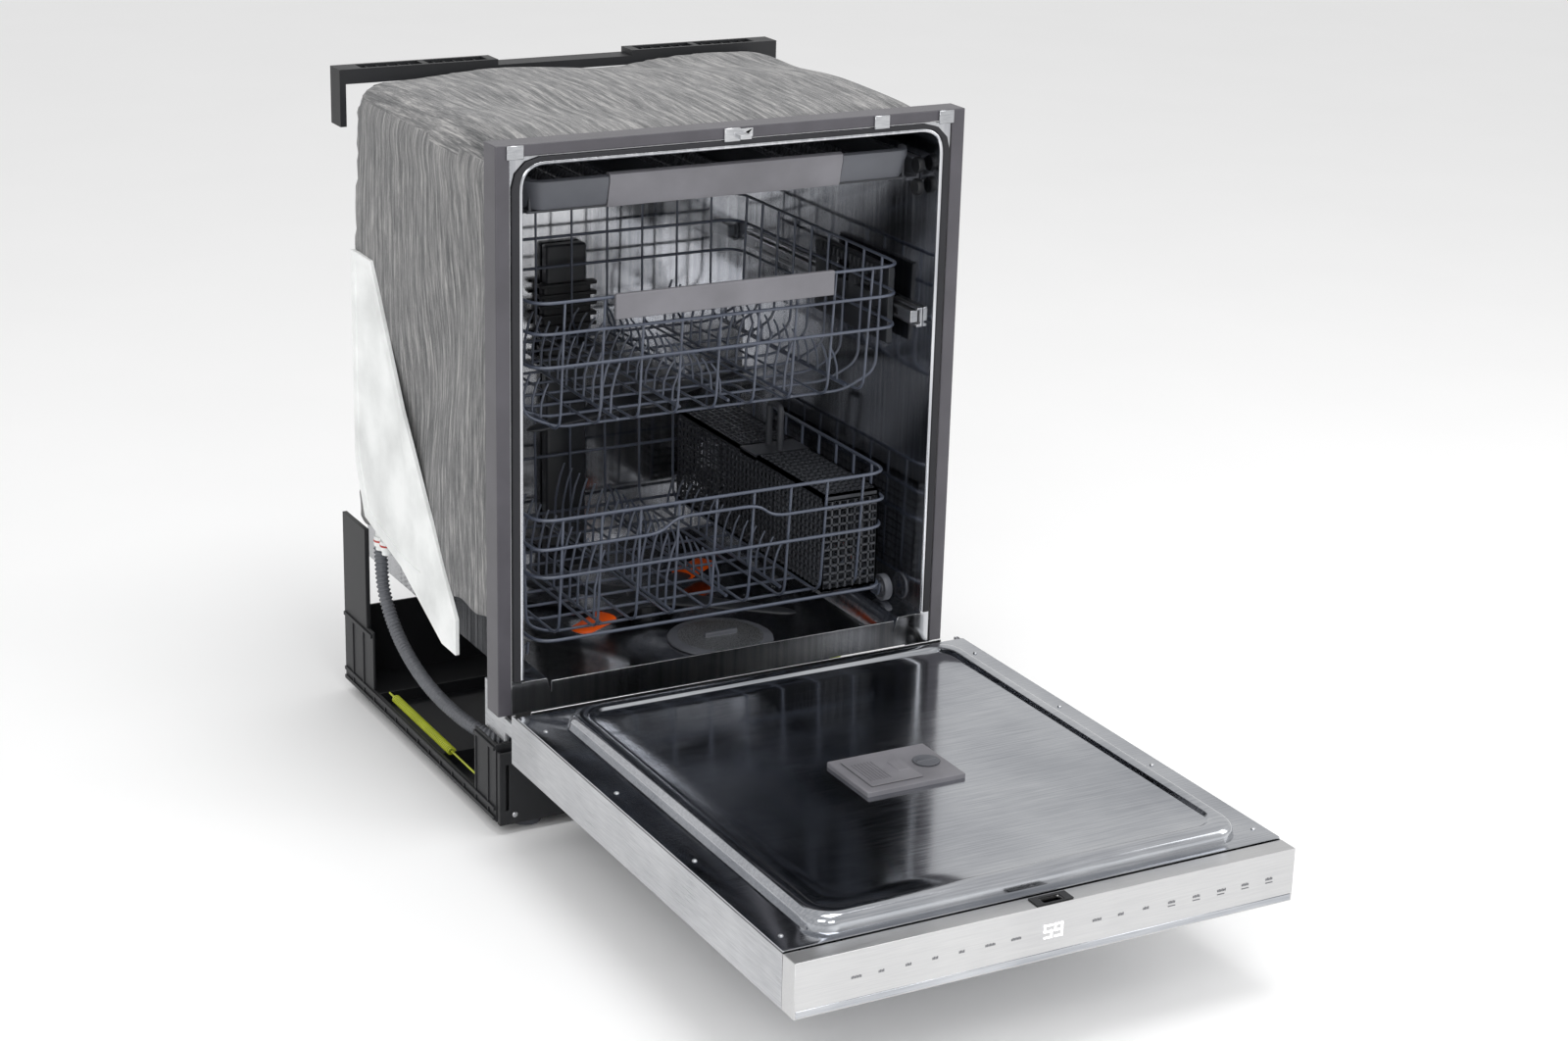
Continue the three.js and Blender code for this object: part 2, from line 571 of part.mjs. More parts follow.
function sprayArm(y, bottom, hub, blades) {
  const arms = blades.map(([reach, angle]) => {
    const tip = [
      [0, -13], [reach - 13, -13], [reach, -6], [reach, 6], [reach - 13, 13], [0, 13],
    ].map(([u, v]) => [
      u * Math.cos(angle) - v * Math.sin(angle),
      y + u * Math.sin(angle) + v * Math.cos(angle),
    ]);
    return prism('z', tip, bottom + 4, bottom + 13);
  });
  return join(rod('z', 0, y, hub, bottom, bottom + 16, 20), arms);
}
const upperArm = sprayArm(UPPER_ARM_Y, FEED_Z - 17, 22, [
  [200, 0.35], [200, 0.35 + Math.PI],
]);
piece(upperRack, 'upper_spray_arm', upperArm, charcoal);
piece(upperRack, 'upper_tines_left', tineRow(-120, UPPER_FLOOR, 62, 8), coatedWire);
piece(upperRack, 'upper_tines_right', tineRow(110, UPPER_FLOOR, 62, 8), coatedWire);

// Lower rack: wire basket on eight wheels, with the cutlery basket along its right side.
const LOWER_REACH = 234;
const WHEEL_Z = LEDGE + RUN + WHEEL_RADIUS;
const WHEELS = [['1', 60], ['2', 164], ['3', 332], ['4', 430]];
const axles = SIDES.flatMap(([, s]) => WHEELS.flatMap(([, y]) => [
  box(s * LOWER_REACH, s * 240, y - 9, y + 9, WHEEL_Z - 6, LOWER_FLOOR + 1),
  rod('x', y, WHEEL_Z, 4, s * 238, s * 256, 8),
]));
piece(lowerRack, 'lower_basket', join(
  wireBasket(LOWER_REACH, RACK_FRONT + 4, RACK_BACK + 4, LOWER_FLOOR, [LOWER_RIM, 296]),
  axles,
), coatedWire);
for (const [side, s] of SIDES) {
  for (const [number, y] of WHEELS) {
    const wheel = cut(
      rod('x', y, WHEEL_Z, WHEEL_RADIUS, s * 243, s * 254, 20),
      rod('x', y, WHEEL_Z, 4 + RUN, s * 241, s * 257, 8),
    );
    piece(lowerRack, `wheel_${side}_${number}`, wheel, midGrey);
  }
}
piece(lowerRack, 'lower_tines_left', tineRow(-140, LOWER_FLOOR, 84, 9), coatedWire);
piece(lowerRack, 'lower_tines_middle', tineRow(-45, LOWER_FLOOR, 84, 9), coatedWire);

const BASKET_X0 = 152;
const BASKET_X1 = LOWER_REACH - half - 3;
const BASKET_Z0 = LOWER_FLOOR + half + 1.3;
const BASKET_Z1 = 340;
const BASKET_Y0 = 45;
const BASKET_Y1 = RACK_BACK - 9;
const BASKET_MID = (BASKET_Y0 + BASKET_Y1) / 2;
const windows = spread(BASKET_Y0 + 32, BASKET_Y1 - 32, 6).flatMap((y) => [250, 305].map((z) => (
  box(BASKET_X0 - 5, BASKET_X1 + 5, y - 23, y + 23, z - 20, z + 20)
)));
const caddy = join(
  cut(
    box(BASKET_X0, BASKET_X1, BASKET_Y0, BASKET_Y1, BASKET_Z0, BASKET_Z1),
    box(BASKET_X0 + 3, BASKET_X1 - 3, BASKET_Y0 + 3, BASKET_Y1 - 3, BASKET_Z0 + 3, BASKET_Z1 + 1),
    windows,
  ),
  [172, 314].map((y) => box(BASKET_X0 + 1, BASKET_X1 - 1, y - 1.5, y + 1.5, BASKET_Z0 + 1, 330)),
  box(BASKET_X0, BASKET_X1, BASKET_MID - 21, BASKET_MID + 21, 334, 343),
  [-18, 12].map((y) => box(186, 194, BASKET_MID + y, BASKET_MID + y + 6, 340, 402)),
  box(186, 194, BASKET_MID - 18, BASKET_MID + 18, 396, 404),
);
piece(lowerRack, 'cutlery_basket', caddy, charcoal);
for (const [name, y0, y1] of [
  ['front', BASKET_Y0 + 1, BASKET_MID - 23], ['rear', BASKET_MID + 23, BASKET_Y1 - 1],
]) {
  const cover = cut(
    box(BASKET_X0 + 1, BASKET_X1 - 1, y0, y1, BASKET_Z1 + SEAT, BASKET_Z1 + 3),
    spread(y0 + 22, y1 - 22, 5).flatMap((y) => [172, 208].map((x) => (
      box(x - 12, x + 12, y - 13, y + 13, BASKET_Z1, BASKET_Z1 + 4)
    ))),
  );
  piece(lowerRack, `cutlery_lid_${name}`, cover, charcoal);
}

const lowerArm = sprayArm(ARM_Y, 168.6, 24, [
  [156, 0.56], [156, 0.56 + Math.PI], [198, 2.4], [198, 2.4 + Math.PI],
]);
piece(cabinet, 'lower_spray_arm', lowerArm, charcoal);

export default appliance;
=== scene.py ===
"""Built-in dishwasher with its drop-down door open and its three racks home.
The tub, its blanket and its base come first, then the door, the racks from the top down, and the studio."""
import json
import math

import bmesh
import bpy
import numpy as np
from mathutils import Matrix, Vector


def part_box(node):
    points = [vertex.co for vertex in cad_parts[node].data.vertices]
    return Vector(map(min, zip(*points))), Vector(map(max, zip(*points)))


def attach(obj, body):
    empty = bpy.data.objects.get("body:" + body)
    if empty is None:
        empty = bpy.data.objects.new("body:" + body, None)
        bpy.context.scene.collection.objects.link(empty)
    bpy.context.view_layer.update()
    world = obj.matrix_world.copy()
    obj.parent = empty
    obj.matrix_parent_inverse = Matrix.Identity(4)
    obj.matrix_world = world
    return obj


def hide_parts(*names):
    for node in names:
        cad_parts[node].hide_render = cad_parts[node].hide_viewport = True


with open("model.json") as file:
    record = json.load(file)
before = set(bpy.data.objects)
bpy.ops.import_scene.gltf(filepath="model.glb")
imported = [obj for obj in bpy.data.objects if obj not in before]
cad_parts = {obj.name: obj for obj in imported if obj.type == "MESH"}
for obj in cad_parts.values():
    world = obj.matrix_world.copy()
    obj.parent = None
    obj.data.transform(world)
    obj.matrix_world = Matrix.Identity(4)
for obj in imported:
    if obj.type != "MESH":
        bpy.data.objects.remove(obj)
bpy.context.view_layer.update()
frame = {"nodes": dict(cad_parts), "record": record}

# --- Tub -----------------------------------------------------------------------------------
# The wash chamber is one drawn shell of bright annealed stainless sheet, open at the front.
# Stepped ledges pressed along the bottom of its side walls carry the lower rack's wheels.


def linear(code):
    """An sRGB hex colour as linear red, green, blue and alpha."""
    c = np.array([int(code[i:i + 2], 16) for i in (1, 3, 5)]) / 255
    return (*np.where(c <= 0.04045, c / 12.92, ((c + 0.055) / 1.055) ** 2.4).tolist(), 1.0)


def add(material, kind, inputs=None, **settings):
    """Adds one node. inputs sets its sockets by name or number: a (node, output) pair is
    linked, anything else is a value. settings are the node's own properties."""
    tree = material.node_tree
    node = tree.nodes.new("ShaderNode" + kind)
    for key, value in settings.items():
        setattr(node, key, value)
    for key, value in (inputs or {}).items():
        if isinstance(value, tuple) and isinstance(value[0], bpy.types.Node):
            tree.links.new(value[0].outputs[value[1]], node.inputs[key])
        else:
            node.inputs[key].default_value = value
    return node


def fresh(name):
    """A new material with an empty node tree."""
    material = bpy.data.materials.new(name)
    material.use_nodes = True
    material.node_tree.nodes.clear()
    return material


def close(material, shader):
    """Joins a shader to the output and hands the finished material back."""
    add(material, "OutputMaterial", {0: (shader, 0)})
    return material


def rolled_steel(name, light, dark, rough, grain, depth=0.12):
    """Metal sheet with a directional finish. Noise is stretched by grain, the number of streaks
    per metre along x, y and z; it mixes light and dark, moves the roughness and lifts a bump."""
    m = fresh(name)
    at = add(m, "TexCoord")
    fine = add(m, "Mapping", {"Vector": (at, "Object"), "Scale": grain})
    streak = add(m, "TexNoise", {"Vector": (fine, 0), "Scale": 1.0, "Detail": 4.0, "Roughness": 0.6})
    cloud = add(m, "TexNoise", {"Vector": (at, "Object"), "Scale": 7.0, "Detail": 3.0})
    both = add(m, "Math", {0: (streak, 0), 1: (cloud, 0)}, operation="ADD")
    tone = add(m, "MapRange", {"Value": (both, 0), "From Min": 0.7, "From Max": 1.3})
    colour = add(m, "Mix", {0: (tone, 0), 6: linear(dark), 7: linear(light)}, data_type="RGBA")
    gloss = add(m, "MapRange", {"Value": (both, 0), "From Min": 0.7, "From Max": 1.3,
                                "To Min": rough - 0.05, "To Max": rough + 0.07})
    bump = add(m, "Bump", {"Height": (streak, 0), "Strength": depth, "Distance": 0.0002})
    return close(m, add(m, "BsdfPrincipled", {
        "Base Color": (colour, 2), "Metallic": 1.0, "Roughness": (gloss, 0),
        "Normal": (bump, 0)}))


def piece(name, vertices, faces, material, body, slot, replaces=(), smooth=40):
    """Turns arrays of points and faces into a finished piece that rides on a body."""
    data = bpy.data.meshes.new(name)
    data.from_pydata(np.asarray(vertices, float).tolist(), [], faces)
    data.materials.append(material)
    shape = bmesh.new()
    shape.from_mesh(data)
    bmesh.ops.recalc_face_normals(shape, faces=shape.faces)
    shape.to_mesh(data)
    shape.free()
    data.shade_smooth()
    data.set_sharp_from_angle(angle=math.radians(smooth))
    obj = bpy.data.objects.new(name, data)
    bpy.context.collection.objects.link(obj)
    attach(obj, body)
    if replaces:
        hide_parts(*replaces)
    return obj


BODY_OF = {n: b for b, names in frame["record"]["behaviour"]["bodies"].items() for n in names}


def softened(node, radius, material, segments=2, pierced=False):
    """The CAD solid with every corner rolled to a radius. Its flat faces are made whole again
    first, except on a pierced one, whose holes would close."""
    source = frame["nodes"][node].data
    shape = bmesh.new()
    shape.from_mesh(source)
    bmesh.ops.remove_doubles(shape, verts=shape.verts, dist=2e-6)
    if not pierced:
        bmesh.ops.dissolve_limit(shape, angle_limit=math.radians(1), verts=shape.verts, edges=shape.edges)
    data = bpy.data.meshes.new(node + "_soft")
    shape.to_mesh(data)
    shape.free()
    data.materials.append(material)
    data.shade_smooth()
    data.set_sharp_from_angle(angle=math.radians(35))
    obj = bpy.data.objects.new(node + "_soft", data)
    bpy.context.collection.objects.link(obj)
    bevel = obj.modifiers.new("rolled_edges", "BEVEL")
    bevel.width = radius
    bevel.segments = segments
    bevel.limit_method = "ANGLE"
    bevel.angle_limit = math.radians(35)
    bevel.use_clamp_overlap = True
    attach(obj, BODY_OF[node])
    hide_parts(node)
    return obj


# Bright annealed stainless: near-mirror, with faint upright draw waves about 6 mm apart.
tub_steel = rolled_steel("bright_annealed_stainless", "#dcdde0", "#a9abb0", 0.13, (160, 160, 5), 0.3)
softened("tub", 0.0015, tub_steel)


def loft(rings, ring_closed=True, path_closed=False, capped=True):
    """Faces of a grid of rings: row i column j joins row i+1 column j+1. A cap closes each end."""
    rows, columns = rings
    i = np.arange(rows if path_closed else rows - 1)
    j = np.arange(columns if ring_closed else columns - 1)
    a = i[:, None] * columns + j[None]
    b = i[:, None] * columns + (j[None] + 1) % columns
    below = (i[:, None] + 1) % rows * columns
    faces = np.stack([a, b, below + (j[None] + 1) % columns, below + j[None]], -1)
    faces = faces.reshape(-1, 4).tolist()
    if capped and ring_closed and not path_closed:
        faces += [list(range(columns)), list(range((rows - 1) * columns, rows * columns))]
    return faces


def drawn(path, radius, normal, sides=8, closed=False):
    """A round wire: at each station of the path a circle of the radius stands square to the
    path, spanned by the normal and by the tangent crossed with it."""
    path = np.asarray(path, float)
    normal = np.broadcast_to(np.asarray(normal, float), path.shape)
    if closed:
        tangent = np.roll(path, -1, 0) - np.roll(path, 1, 0)
    else:
        tangent = np.gradient(path, axis=0)
    side = np.cross(tangent, normal)
    side /= np.linalg.norm(side, axis=1, keepdims=True)
    a = np.arange(sides) * 2 * np.pi / sides
    r = np.broadcast_to(np.asarray(radius, float), (len(path),))[:, None, None]
    ring = path[:, None] + r * (np.cos(a)[:, None] * normal[:, None] + np.sin(a)[:, None] * side[:, None])
    return ring.reshape(-1, 3), loft((len(path), sides), path_closed=closed)


def bent(points, radius, closed=False, steps=5):
    """A polyline whose corners are bent: each corner P becomes the curve
    A(1-t)^2 + 2Pt(1-t) + Bt^2, with A and B on its two arms at the bend's radius."""
    p = np.asarray(points, float)
    before, after = (np.roll(p, 1, 0), np.roll(p, -1, 0)) if closed else (p[:-2], p[2:])
    mid = p if closed else p[1:-1]
    arms = [before - mid, after - mid]
    lengths = [np.linalg.norm(arm, axis=1, keepdims=True) for arm in arms]
    a, b = (mid + arm / n * np.minimum(radius, 0.45 * n) for arm, n in zip(arms, lengths))
    t = np.linspace(0, 1, steps)[None, :, None]
    curve = a[:, None] * (1 - t) ** 2 + 2 * mid[:, None] * t * (1 - t) + b[:, None] * t ** 2
    curve = curve.reshape(-1, 3)
    return curve if closed else np.vstack([p[:1], curve, p[-1:]])


# The mouth of the tub is rolled outwards into a bright lip that runs up one side, over and down.
tub_low, tub_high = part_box("tub")
front = tub_low.y
inside = tub_high.x - 0.012
ceiling = tub_high.z - 0.008
lip = bent([(-inside, front - 0.001, 0.192), (-inside, front - 0.001, ceiling),
            (inside, front - 0.001, ceiling), (inside, front - 0.001, 0.192)], 0.03, steps=9)
piece("tub_mouth_lip", *drawn(lip, 0.0026, (0, 1, 0), sides=10), tub_steel, "cabinet", "stainless")

# --- Front frame, gasket and striker ---------------------------------------------------------
# A painted steel portal closes the gap between the tub and the kitchen units. Its corners are
# mitred, bright spring clips sit over its top, and the striker for the door stands at its middle.


def tinted(m, colour, noise, low, high, start=0.3, stop=0.7):
    """The colour times a noise, whose run from start to stop is stretched to low to high."""
    tone = add(m, "MapRange", {"Value": (noise, 0), "From Min": start, "From Max": stop,
                               "To Min": low, "To Max": high})
    return add(m, "Mix", {0: 1.0, 6: linear(colour), 7: (tone, 0)},
               data_type="RGBA", blend_type="MULTIPLY")


def coated(name, colour, rough, speck, coat=0.15):
    """Paint or nylon on metal: noise specks of the given number per metre lift an orange-peel
    bump, and a slow noise moves the tone and the gloss a little."""
    m = fresh(name)
    at = add(m, "TexCoord")
    peel = add(m, "TexNoise", {"Vector": (at, "Object"), "Scale": speck, "Detail": 2.0})
    slow = add(m, "TexNoise", {"Vector": (at, "Object"), "Scale": 22.0, "Detail": 4.0})
    colour = tinted(m, colour, slow, 0.86, 1.12)
    gloss = add(m, "MapRange", {"Value": (peel, 0), "To Min": rough - 0.08, "To Max": rough + 0.08})
    bump = add(m, "Bump", {"Height": (peel, 0), "Strength": 0.12, "Distance": 0.0003})
    return close(m, add(m, "BsdfPrincipled", {
        "Base Color": (colour, 2), "Roughness": (gloss, 0), "Normal": (bump, 0),
        "Coat Weight": coat, "Coat Roughness": 0.2}))


# Satin powder paint, with the slight orange peel of a sprayed panel.
frame_paint = coated("satin_powder_paint", "#49474d", 0.42, 900)
softened("front_frame", 0.0012, frame_paint)


def moulded(name, colour, rough, pits=1600, soft=0.35):
    """Injection-moulded plastic: a spark-eroded grain (noise of so many pits per metre) lifts the
    bump and moves the roughness, and a slow noise shifts the tone as flow marks do."""
    m = fresh(name)
    at = add(m, "TexCoord")
    grain = add(m, "TexNoise", {"Vector": (at, "Object"), "Scale": pits, "Detail": 3.0})
    flow = add(m, "TexNoise", {"Vector": (at, "Object"), "Scale": 14.0, "Detail": 5.0})
    colour = tinted(m, colour, flow, 0.84, 1.14)
    gloss = add(m, "MapRange", {"Value": (grain, 0), "To Min": rough - 0.1, "To Max": rough + 0.1})
    bump = add(m, "Bump", {"Height": (grain, 0), "Strength": soft, "Distance": 0.00025})
    return close(m, add(m, "BsdfPrincipled", {
        "Base Color": (colour, 2), "Roughness": (gloss, 0), "Normal": (bump, 0),
        "Specular IOR Level": 0.45}))


# Extruded door-seal rubber, matt and slightly dusty.
seal_rubber = moulded("extruded_seal_rubber", "#26262a", 0.75)
softened("tub_gasket", 0.0008, seal_rubber, segments=1)

# Bright zinc-plated strip for brackets, clips and rails, drawn lengthwise.
plated = rolled_steel("zinc_plated_strip", "#d5d6d8", "#a5a7ab", 0.3, (60, 60, 900))
softened("latch_striker", 0.0005, plated)


def blocks(low, high):
    """Many upright boxes at once: corner k of box i takes each coordinate from low or high by
    the three bits of k."""
    low, high = np.atleast_2d(low).astype(float), np.atleast_2d(high).astype(float)
    bits = np.array([[k >> 2 & 1, k >> 1 & 1, k & 1] for k in range(8)])
    points = np.where(bits[None], high[:, None], low[:, None]).reshape(-1, 3)
    sides = np.array([[0, 1, 3, 2], [4, 6, 7, 5], [0, 4, 5, 1], [2, 3, 7, 6], [0, 2, 6, 4], [1, 5, 7, 3]])
    return points, (sides[None] + 8 * np.arange(len(low))[:, None, None]).reshape(-1, 4).tolist()


def chamfer(obj, width, segments=1):
    """Every edge sharper than 40 degrees is cut back by the width."""
    bevel = obj.modifiers.new("broken_edges", "BEVEL")
    bevel.width = width
    bevel.segments = segments
    bevel.limit_method = "ANGLE"
    bevel.angle_limit = math.radians(40)
    return obj


def triples(x, y, z):
    """Points from their three coordinates, where a single value stands for all of them."""
    return np.stack(np.broadcast_arrays(x, y, z), -1).astype(float)


_, frame_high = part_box("front_frame")
clips = np.array([-0.285, -0.02, 0.175, 0.262])
low = triples(clips, front - 0.0045, frame_high.z - 0.016)
high = low + (0.02, 0.0022, 0.0155)
chamfer(piece("frame_clips", *blocks(low, high), plated, "cabinet", "plated_steel"), 0.0006)

# --- Felt blanket ----------------------------------------------------------------------------
# A sound-deadening blanket of pressed recycled fibre is laid over the tub: up one side, across
# the top and down the other. It is soft, so it bulges over the top and its edges wander.

felt = fresh("needled_recycled_fibre_felt")
# Grey and dark fibres 0.3 to 1 mm thick and 20 mm long, combed along the length of the strip.
at = add(felt, "UVMap")
comb = add(felt, "Mapping", {"Vector": (at, 0), "Scale": (30, 620, 1)})
fibre = add(felt, "TexNoise", {"Vector": (comb, 0), "Scale": 1.0, "Detail": 8.0, "Roughness": 0.75,
                               "Distortion": 0.6})
wide = add(felt, "Mapping", {"Vector": (at, 0), "Scale": (9, 130, 1)})
lock = add(felt, "TexNoise", {"Vector": (wide, 0), "Scale": 1.0, "Detail": 6.0, "Roughness": 0.7})
mixed = add(felt, "Math", {0: (fibre, 0), 1: (lock, 0)}, operation="ADD")
ramp = add(felt, "ValToRGB", {0: (add(felt, "MapRange", {
    "Value": (mixed, 0), "From Min": 0.78, "From Max": 1.22}), 0)})
for stop, (place, shade) in enumerate([(0.0, "#2f3032"), (0.36, "#595a5b"), (0.64, "#7f7e7e"),
                                       (1.0, "#b4b2b0")]):
    element = ramp.color_ramp.elements[stop] if stop < 2 else ramp.color_ramp.elements.new(place)
    element.position = place
    element.color = linear(shade)
nap = add(felt, "Bump", {"Height": (mixed, 0), "Strength": 0.8, "Distance": 0.0015})
close(felt, add(felt, "BsdfPrincipled", {
    "Base Color": (ramp, 0), "Roughness": 0.95, "Normal": (nap, 0), "Sheen Weight": 0.35,
    "Sheen Roughness": 0.5, "Specular IOR Level": 0.15}))

felt_low, felt_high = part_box("felt_blanket")
path = np.array([(felt_low.x, 0, felt_low.z), (felt_low.x, 0, felt_high.z - 0.004),
                 (felt_high.x, 0, felt_high.z - 0.004), (felt_high.x, 0, felt_low.z)])
path = bent(path, 0.05, steps=13)
legs = [np.linspace(path[0], path[1], 50)[:-1], path[1:14], np.linspace(path[13], path[14], 60)[1:-1],
        path[14:27], np.linspace(path[26], path[27], 50)[1:]]
path = np.vstack(legs)
run = np.r_[0, np.cumsum(np.linalg.norm(np.diff(path, axis=0), axis=1))]
depth = np.linspace(felt_low.y, felt_high.y, 60)
u, v = np.meshgrid(run, depth, indexing="ij")
# Each point of the strip stands out from the tub by slow waves and sags at the middle of the top;
# the strip's two ends wander by a few millimetres, as a torn edge does.
out = np.gradient(path, axis=0)[:, [2, 1, 0]] * (-1, 0, 1)
out /= np.linalg.norm(out, axis=1, keepdims=True)
rng = np.random.default_rng(7)
wave = np.zeros_like(u)
for _ in range(26):
    ku, kv = rng.uniform(4, 34, 2)
    wave += np.sin(ku * u + kv * v + rng.uniform(0, 6.28)) / (6 + 0.5 * (ku + kv))
wave *= 0.0026 / wave.std()
# Puffed over the roof, pulled in towards the front and back edges.
roof = np.clip((path[:, 2] - 0.74) / 0.06, 0, 1)[:, None]
puff = roof * 0.008 * np.sin(np.pi * (v - depth[0]) / np.ptp(depth)) ** 0.6
edge = 0.003 * (np.abs((v - depth.mean()) / (np.ptp(depth) / 2)) ** 8)
points = path[:, None] + out[:, None] * (wave + puff - edge - 0.001)[..., None]
ragged = 0.004 * np.sin(run * 61) + 0.003 * np.sin(run * 143 + 1) + 0.002 * np.sin(run * 333)
points[..., 1] = v
points[:, -1, 1] -= np.abs(ragged)
points[:, 0, 1] += np.abs(ragged[::-1]) * 0.6
points[:, -2, 1] -= np.abs(ragged) * 0.5
points[0, :, 2] += 0.003 * np.sin(depth * 90)
faces = loft(points.shape[:2], ring_closed=False, capped=False)
blanket = piece("felt_blanket_sheet", points.reshape(-1, 3), faces, felt, "cabinet", "felt",
                replaces=("felt_blanket",), smooth=80)
layer = blanket.data.uv_layers.new(name="strip")
corner = np.empty(len(blanket.data.loops), np.int32)
blanket.data.loops.foreach_get("vertex_index", corner)
# The fibres run up and down on the sides and from front to back over the roof.
strip = np.stack([u.ravel(), v.ravel()], 1)[corner]
on_roof = points.reshape(-1, 3)[corner].reshape(-1, 4, 3)[:, :, 2].min(1) > felt_high.z - 0.03
strip = np.where(np.repeat(on_roof, 4)[:, None], strip[:, ::-1], strip)
layer.data.foreach_set("uv", strip.astype(np.float32).ravel())
thick = blanket.modifiers.new("pressed_fibre", "SOLIDIFY")
thick.thickness = 0.008
thick.offset = -1

# --- Rear bar and the water panel -------------------------------------------------------------
# A black moulded bar across the top of the back holds the side straps. Its pockets are trussed
# with thin ribs. The milky blown panel on the left is the air break of the inlet water.
black = moulded("black_moulded_polypropylene", "#1b1c1f", 0.5)
softened("rear_top_bar", 0.001, black)
bar_low, bar_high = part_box("rear_top_bar")
ribs = []
for start, end in ((-0.27, -0.19), (-0.182, -0.104), (0.104, 0.182), (0.19, 0.27)):
    x = np.linspace(start + 0.012, end - 0.012, 5)
    ribs.append((triples(x - 0.0007, bar_low.y + 0.004, bar_high.z - 0.0125),
                 triples(x + 0.0007, bar_high.y - 0.004, bar_high.z - 0.002)))
low = np.vstack([r[0] for r in ribs])
high = np.vstack([r[1] for r in ribs])
piece("rear_bar_ribs", *blocks(low, high), black, "cabinet", "black_plastic")

# Blown high-density polyethylene: milky, slightly see-through and softly mottled.
milky = moulded("blown_polyethylene", "#eef0ef", 0.4, pits=500)
glow = milky.node_tree.nodes["Principled BSDF"]
glow.inputs["Subsurface Weight"].default_value = 0.3
glow.inputs["Subsurface Radius"].default_value = (0.01, 0.01, 0.01)
softened("air_break", 0.0016, milky)

# --- Base tray, feet and kick plate -----------------------------------------------------------
# A black moulded tray carries the machine. Ribs stiffen its walls, towers rise at its rear
# corners, and a dark steel kick plate with two long slots closes its front.
softened("base_tray", 0.0012, black)
base_low, base_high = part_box("base_tray")
# The ribs run up to the tray's rim by the post and the tower, and stop at the low rail between.
ribs = np.linspace(front + 0.03, base_high.y - 0.03, 13)
crown = np.where((ribs > front + 0.068) & (ribs < front + 0.402), 0.031, 0.109)
low, high = [], []
for x0, x1 in ((base_low.x - 0.0015, base_low.x + 0.001), (base_high.x - 0.001, base_high.x + 0.0015)):
    low.append(triples(x0, ribs - 0.0016, 0.02))
    high.append(triples(x1, ribs + 0.0016, crown))
    low.append([(x0 - 0.001, front + 0.01, 0.104), (x0 - 0.001, front + 0.402, 0.104),
                (x0 - 0.001, front + 0.01, 0.016), (x0 - 0.001, front + 0.01, 0.028)])
    high.append([(x1 + 0.001, front + 0.069, 0.109), (x1 + 0.001, base_high.y - 0.002, 0.109),
                 (x1 + 0.001, base_high.y - 0.002, 0.021), (x1 + 0.001, base_high.y - 0.002, 0.033)])
chamfer(piece("base_wall_ribs", *blocks(np.vstack(low), np.vstack(high)), black, "cabinet",
              "black_plastic"), 0.0004)
softened("kick_plate", 0.0008, black)


def dress(material, *nodes):
    """Gives CAD nodes that stay as they are their finish."""
    for name in nodes:
        data = frame["nodes"][name].data
        data.materials.clear()
        data.materials.append(material)


dress(black, "sump", "wash_pump")
mid_grey = moulded("grey_moulded_nylon", "#56585e", 0.45)
dress(mid_grey, "foot_left", "foot_right")


def turned(profile, centre, axis=2, sides=28):
    """A turned piece: each profile point (radius, height) is carried round the axis, so
    point (i, j) = centre + radius i (cos a_j, sin a_j) + height i."""
    profile = np.asarray(profile, float)
    a = np.arange(sides) * 2 * np.pi / sides
    r, h = profile[:, 0, None], np.broadcast_to(profile[:, 1, None], (len(profile), sides))
    flat = np.stack([r * np.cos(a), r * np.sin(a), h], -1)
    flat = np.roll(flat, axis + 1, -1) if axis != 2 else flat
    points = (flat + np.asarray(centre)).reshape(-1, 3)
    return points, loft((len(profile), sides))


# Pan-head screws: a low dome with a shallow recess.
kick_low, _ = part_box("kick_plate")
screw = np.array([(0.0034, 0), (0.0034, -0.0008), (0.0026, -0.0016), (0.0013, -0.0019), (0.0011, -0.0013),
                  (0.0003, -0.0012)])


def together(parts):
    """Several (points, faces) pairs as one."""
    points, faces, start = [], [], 0
    for p, f in parts:
        points.append(p)
        faces += [[v + start for v in face] for face in f]
        start += len(p)
    return np.vstack(points), faces


def screws(name, places, axis, way, material, body, slot, size=1.0):
    """Screw heads at the places; their domes rise along the axis, forwards or backwards."""
    profile = screw * (size, -way * size)
    parts = [turned(profile, place, axis, 16) for place in places]
    return piece(name, *together(parts), material, body, slot)


screws("kick_plate_screws", [(s * 0.277, kick_low.y + 0.0002, z) for s in (-1, 1) for z in (0.024, 0.094)],
       1, -1, plated, "cabinet", "plated_steel")

# --- Drain hose and door springs --------------------------------------------------------------
# A ribbed grey hose runs down the left tower and along the tray. Under it a long close-wound
# spring, painted yellow-green, balances the door on each side.
pipe = np.array([(-0.280, 0.517, 0.222), (-0.280, 0.503, 0.160), (-0.280, 0.440, 0.112),
                 (-0.278, 0.340, 0.086), (-0.262, 0.240, 0.074), (-0.225, 0.213, 0.070)])
k = np.linspace(0, 5, 420)
i = np.clip(k.astype(int), 0, 4)
t = (k - i)[:, None]
padded = np.vstack([2 * pipe[0] - pipe[1], pipe, 2 * pipe[-1] - pipe[-2]])
p0, p1, p2, p3 = (padded[i + n] for n in range(4))
line = 0.5 * (2 * p1 + (p2 - p0) * t + (2 * p0 - 5 * p1 + 4 * p2 - p3) * t ** 2
              + (3 * p1 - p0 - 3 * p2 + p3) * t ** 3)
length = np.r_[0, np.cumsum(np.linalg.norm(np.diff(line, axis=0), axis=1))]
ripple = 0.0078 + 0.0011 * np.sin(length * 2 * np.pi / 0.0055)
tangent = np.gradient(line, axis=0)
across = np.cross(tangent, (1.0, 0.25, 0.1))
across /= np.linalg.norm(across, axis=1, keepdims=True)
